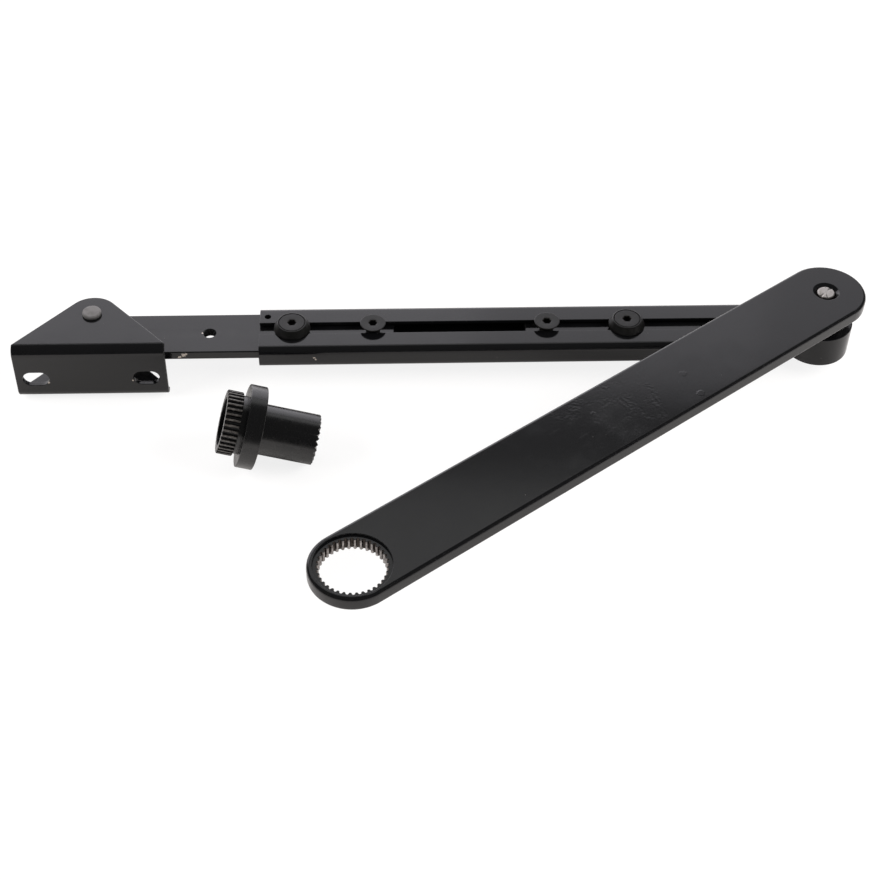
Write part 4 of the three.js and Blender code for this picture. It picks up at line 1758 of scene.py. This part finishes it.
# ---- Studio ----
COOL: Colour = (1.02, 1.0, 1.06)


@dataclass(frozen=True)
class Softbox:
    """A soft light: its place, what it faces, its size, how bright it looks, and whether it is mirrored."""

    name: str
    place: tuple[float, float, float]
    target: tuple[float, float, float]
    width: float
    height: float
    radiance: float
    tint: Colour = (1.0, 1.0, 1.0)
    mirrored: bool = True

    def build(self) -> None:
        """Hangs the light."""
        data = bpy.data.lights.new(self.name, "AREA")
        data.shape = "RECTANGLE"
        data.size, data.size_y = self.width, self.height
        data.energy = self.radiance * math.pi * self.width * self.height
        data.color = self.tint
        lamp = bpy.data.objects.new(self.name, data)
        lamp.visible_glossy = self.mirrored
        aim = Vector(self.target) - Vector(self.place)
        lamp.matrix_world = Matrix.Translation(self.place) @ aim.to_track_quat("-Z", "Y").to_matrix().to_4x4()
        bpy.context.scene.collection.objects.link(lamp)


@dataclass
class Studio:
    """A plain pale floor, soft lights and the camera."""

    floor_half: float = 6.0
    floor_colour: Colour = (0.84, 0.81, 0.79)
    floor_glow: float = 1.1
    floor_evenness: float = 0.75
    camera_place: tuple[float, float, float] = (0.01181, -0.61668, 0.73115)
    pitch: float = math.radians(45.41)
    yaw: float = math.radians(3.17)
    roll: float = math.radians(1.45)
    lens: float = 71.06
    sensor: float = 36.0
    surround: float = 0.1
    softboxes: tuple[Softbox, ...] = (
        Softbox("back_wall_left", (-0.75, 1.65, 0.712), (-0.75, 0.0, 0.712), 1.9, 1.515, 1.75, COOL),
        Softbox("back_wall_middle", (0.45, 1.65, 0.712), (0.45, 0.0, 0.712), 0.5, 1.515, 1.32, COOL),
        Softbox("back_wall_right", (0.85, 1.65, 0.712), (0.85, 0.0, 0.712), 0.3, 1.515, 1.0, COOL),
        Softbox("back_wall_end", (1.12, 1.65, 0.712), (1.12, 0.0, 0.712), 0.24, 1.515, 0.45, COOL),
        Softbox("high_panel", (0.0, 1.262, 1.66), (0.0, 1.262, 0.0), 2.6, 0.69, 0.88),
        Softbox("right_box", (1.55, -0.1, 0.9), (0.1, 0.1, 0.0), 1.3, 1.2, 8.0, mirrored=False),
        Softbox("left_box", (-1.55, -0.1, 0.9), (0.0, 0.1, 0.0), 1.3, 1.2, 7.0, mirrored=False),
    )

    def _floor(self) -> None:
        """Lays the floor just under the lowest piece."""
        skin = Skin()
        half = self.floor_half
        corners = ((-half, -half), (half, -half), (half, half), (-half, half))
        skin.cap(skin.ring(lifted(corners, 0.0)))
        material = bpy.data.materials.new("pale floor")
        material.use_nodes = True
        wiring = Wiring(material.node_tree)
        shader = material.node_tree.nodes["Principled BSDF"]
        grain = wiring.noise(wiring.add("ShaderNodeTexCoord").outputs["Object"], 0.4, 2.0)
        shade = wiring.ramp(grain, 0.2, 0.8)
        pale = wiring.blend(shade, self.floor_colour, tuple(0.98 * part for part in self.floor_colour))
        material.node_tree.links.new(pale, shader.inputs["Base Color"])
        shader.inputs["Roughness"].default_value = 0.7
        shader.inputs["Specular IOR Level"].default_value = 0.1
        seen = wiring.add("ShaderNodeLightPath").outputs["Is Camera Ray"]
        glow = wiring.add("ShaderNodeEmission", {"Strength": self.floor_glow})
        lit = shader.outputs[0]
        shown = wiring.add("ShaderNodeMixShader", {0: self.floor_evenness, 1: lit, 2: glow.outputs[0]})
        either = wiring.add("ShaderNodeMixShader", {0: seen, 1: lit, 2: shown.outputs[0]})
        output = material.node_tree.nodes["Material Output"]
        material.node_tree.links.new(either.outputs[0], output.inputs["Surface"])
        floor = skin.piece("floor", [material])
        floor.location.z = cad_box[0].z - 0.05 * MM

    def _camera(self) -> None:
        """Sets the camera up, looking down along Y."""
        data = bpy.data.cameras.new("camera")
        data.lens, data.sensor_width = self.lens, self.sensor
        data.clip_start, data.clip_end = 0.01, 50.0
        ahead = Vector((math.sin(self.yaw) * math.cos(self.pitch), math.cos(self.yaw) * math.cos(self.pitch),
                        -math.sin(self.pitch)))
        level = Vector((math.cos(self.yaw), -math.sin(self.yaw), 0.0))
        upward = level.cross(ahead)
        right = math.cos(self.roll) * level + math.sin(self.roll) * upward
        up = -math.sin(self.roll) * level + math.cos(self.roll) * upward
        camera = bpy.data.objects.new("camera", data)
        turned = Matrix((right, up, -ahead)).transposed().to_4x4()
        camera.matrix_world = Matrix.Translation(self.camera_place) @ turned
        bpy.context.scene.collection.objects.link(camera)
        bpy.context.scene.camera = camera

    def build(self) -> None:
        """Builds the floor, the lights and the camera."""
        world = bpy.data.worlds.new("surround")
        world.use_nodes = True
        wiring = Wiring(world.node_tree)
        dim = world.node_tree.nodes["Background"]
        dim.inputs["Color"].default_value = (1.0, 1.0, 1.0, 1.0)
        dim.inputs["Strength"].default_value = self.surround
        white = wiring.add("ShaderNodeBackground", {"Color": (1.0, 1.0, 1.0, 1.0), "Strength": 1.0})
        seen = wiring.add("ShaderNodeLightPath").outputs["Is Camera Ray"]
        either = wiring.add("ShaderNodeMixShader", {0: seen, 1: dim.outputs[0], 2: white.outputs[0]})
        world.node_tree.links.new(either.outputs[0], world.node_tree.nodes["World Output"].inputs["Surface"])
        bpy.context.scene.world = world
        bpy.context.scene.view_settings.view_transform = "Standard"
        self._floor()
        self._camera()
        for softbox in self.softboxes:
            softbox.build()


def main() -> None:
    """Builds the whole arm and its studio, in order."""
    logging.basicConfig(level=logging.INFO, format="%(name)s: %(message)s")
    assembly = SubAssembly(Finishes())
    parts = [
        DriveArm(assembly), Elbow(assembly), Forearm(assembly), ScrewSet(assembly, "elbow"),
        ScrewSet(assembly, "shoe"), Shoe(assembly), SpindleAdapter(assembly),
    ]
    for part in parts:
        part.build()
        LOG.info("%s is built", type(part).__name__)
    Studio().build()


if __name__ == "__main__":
    main()
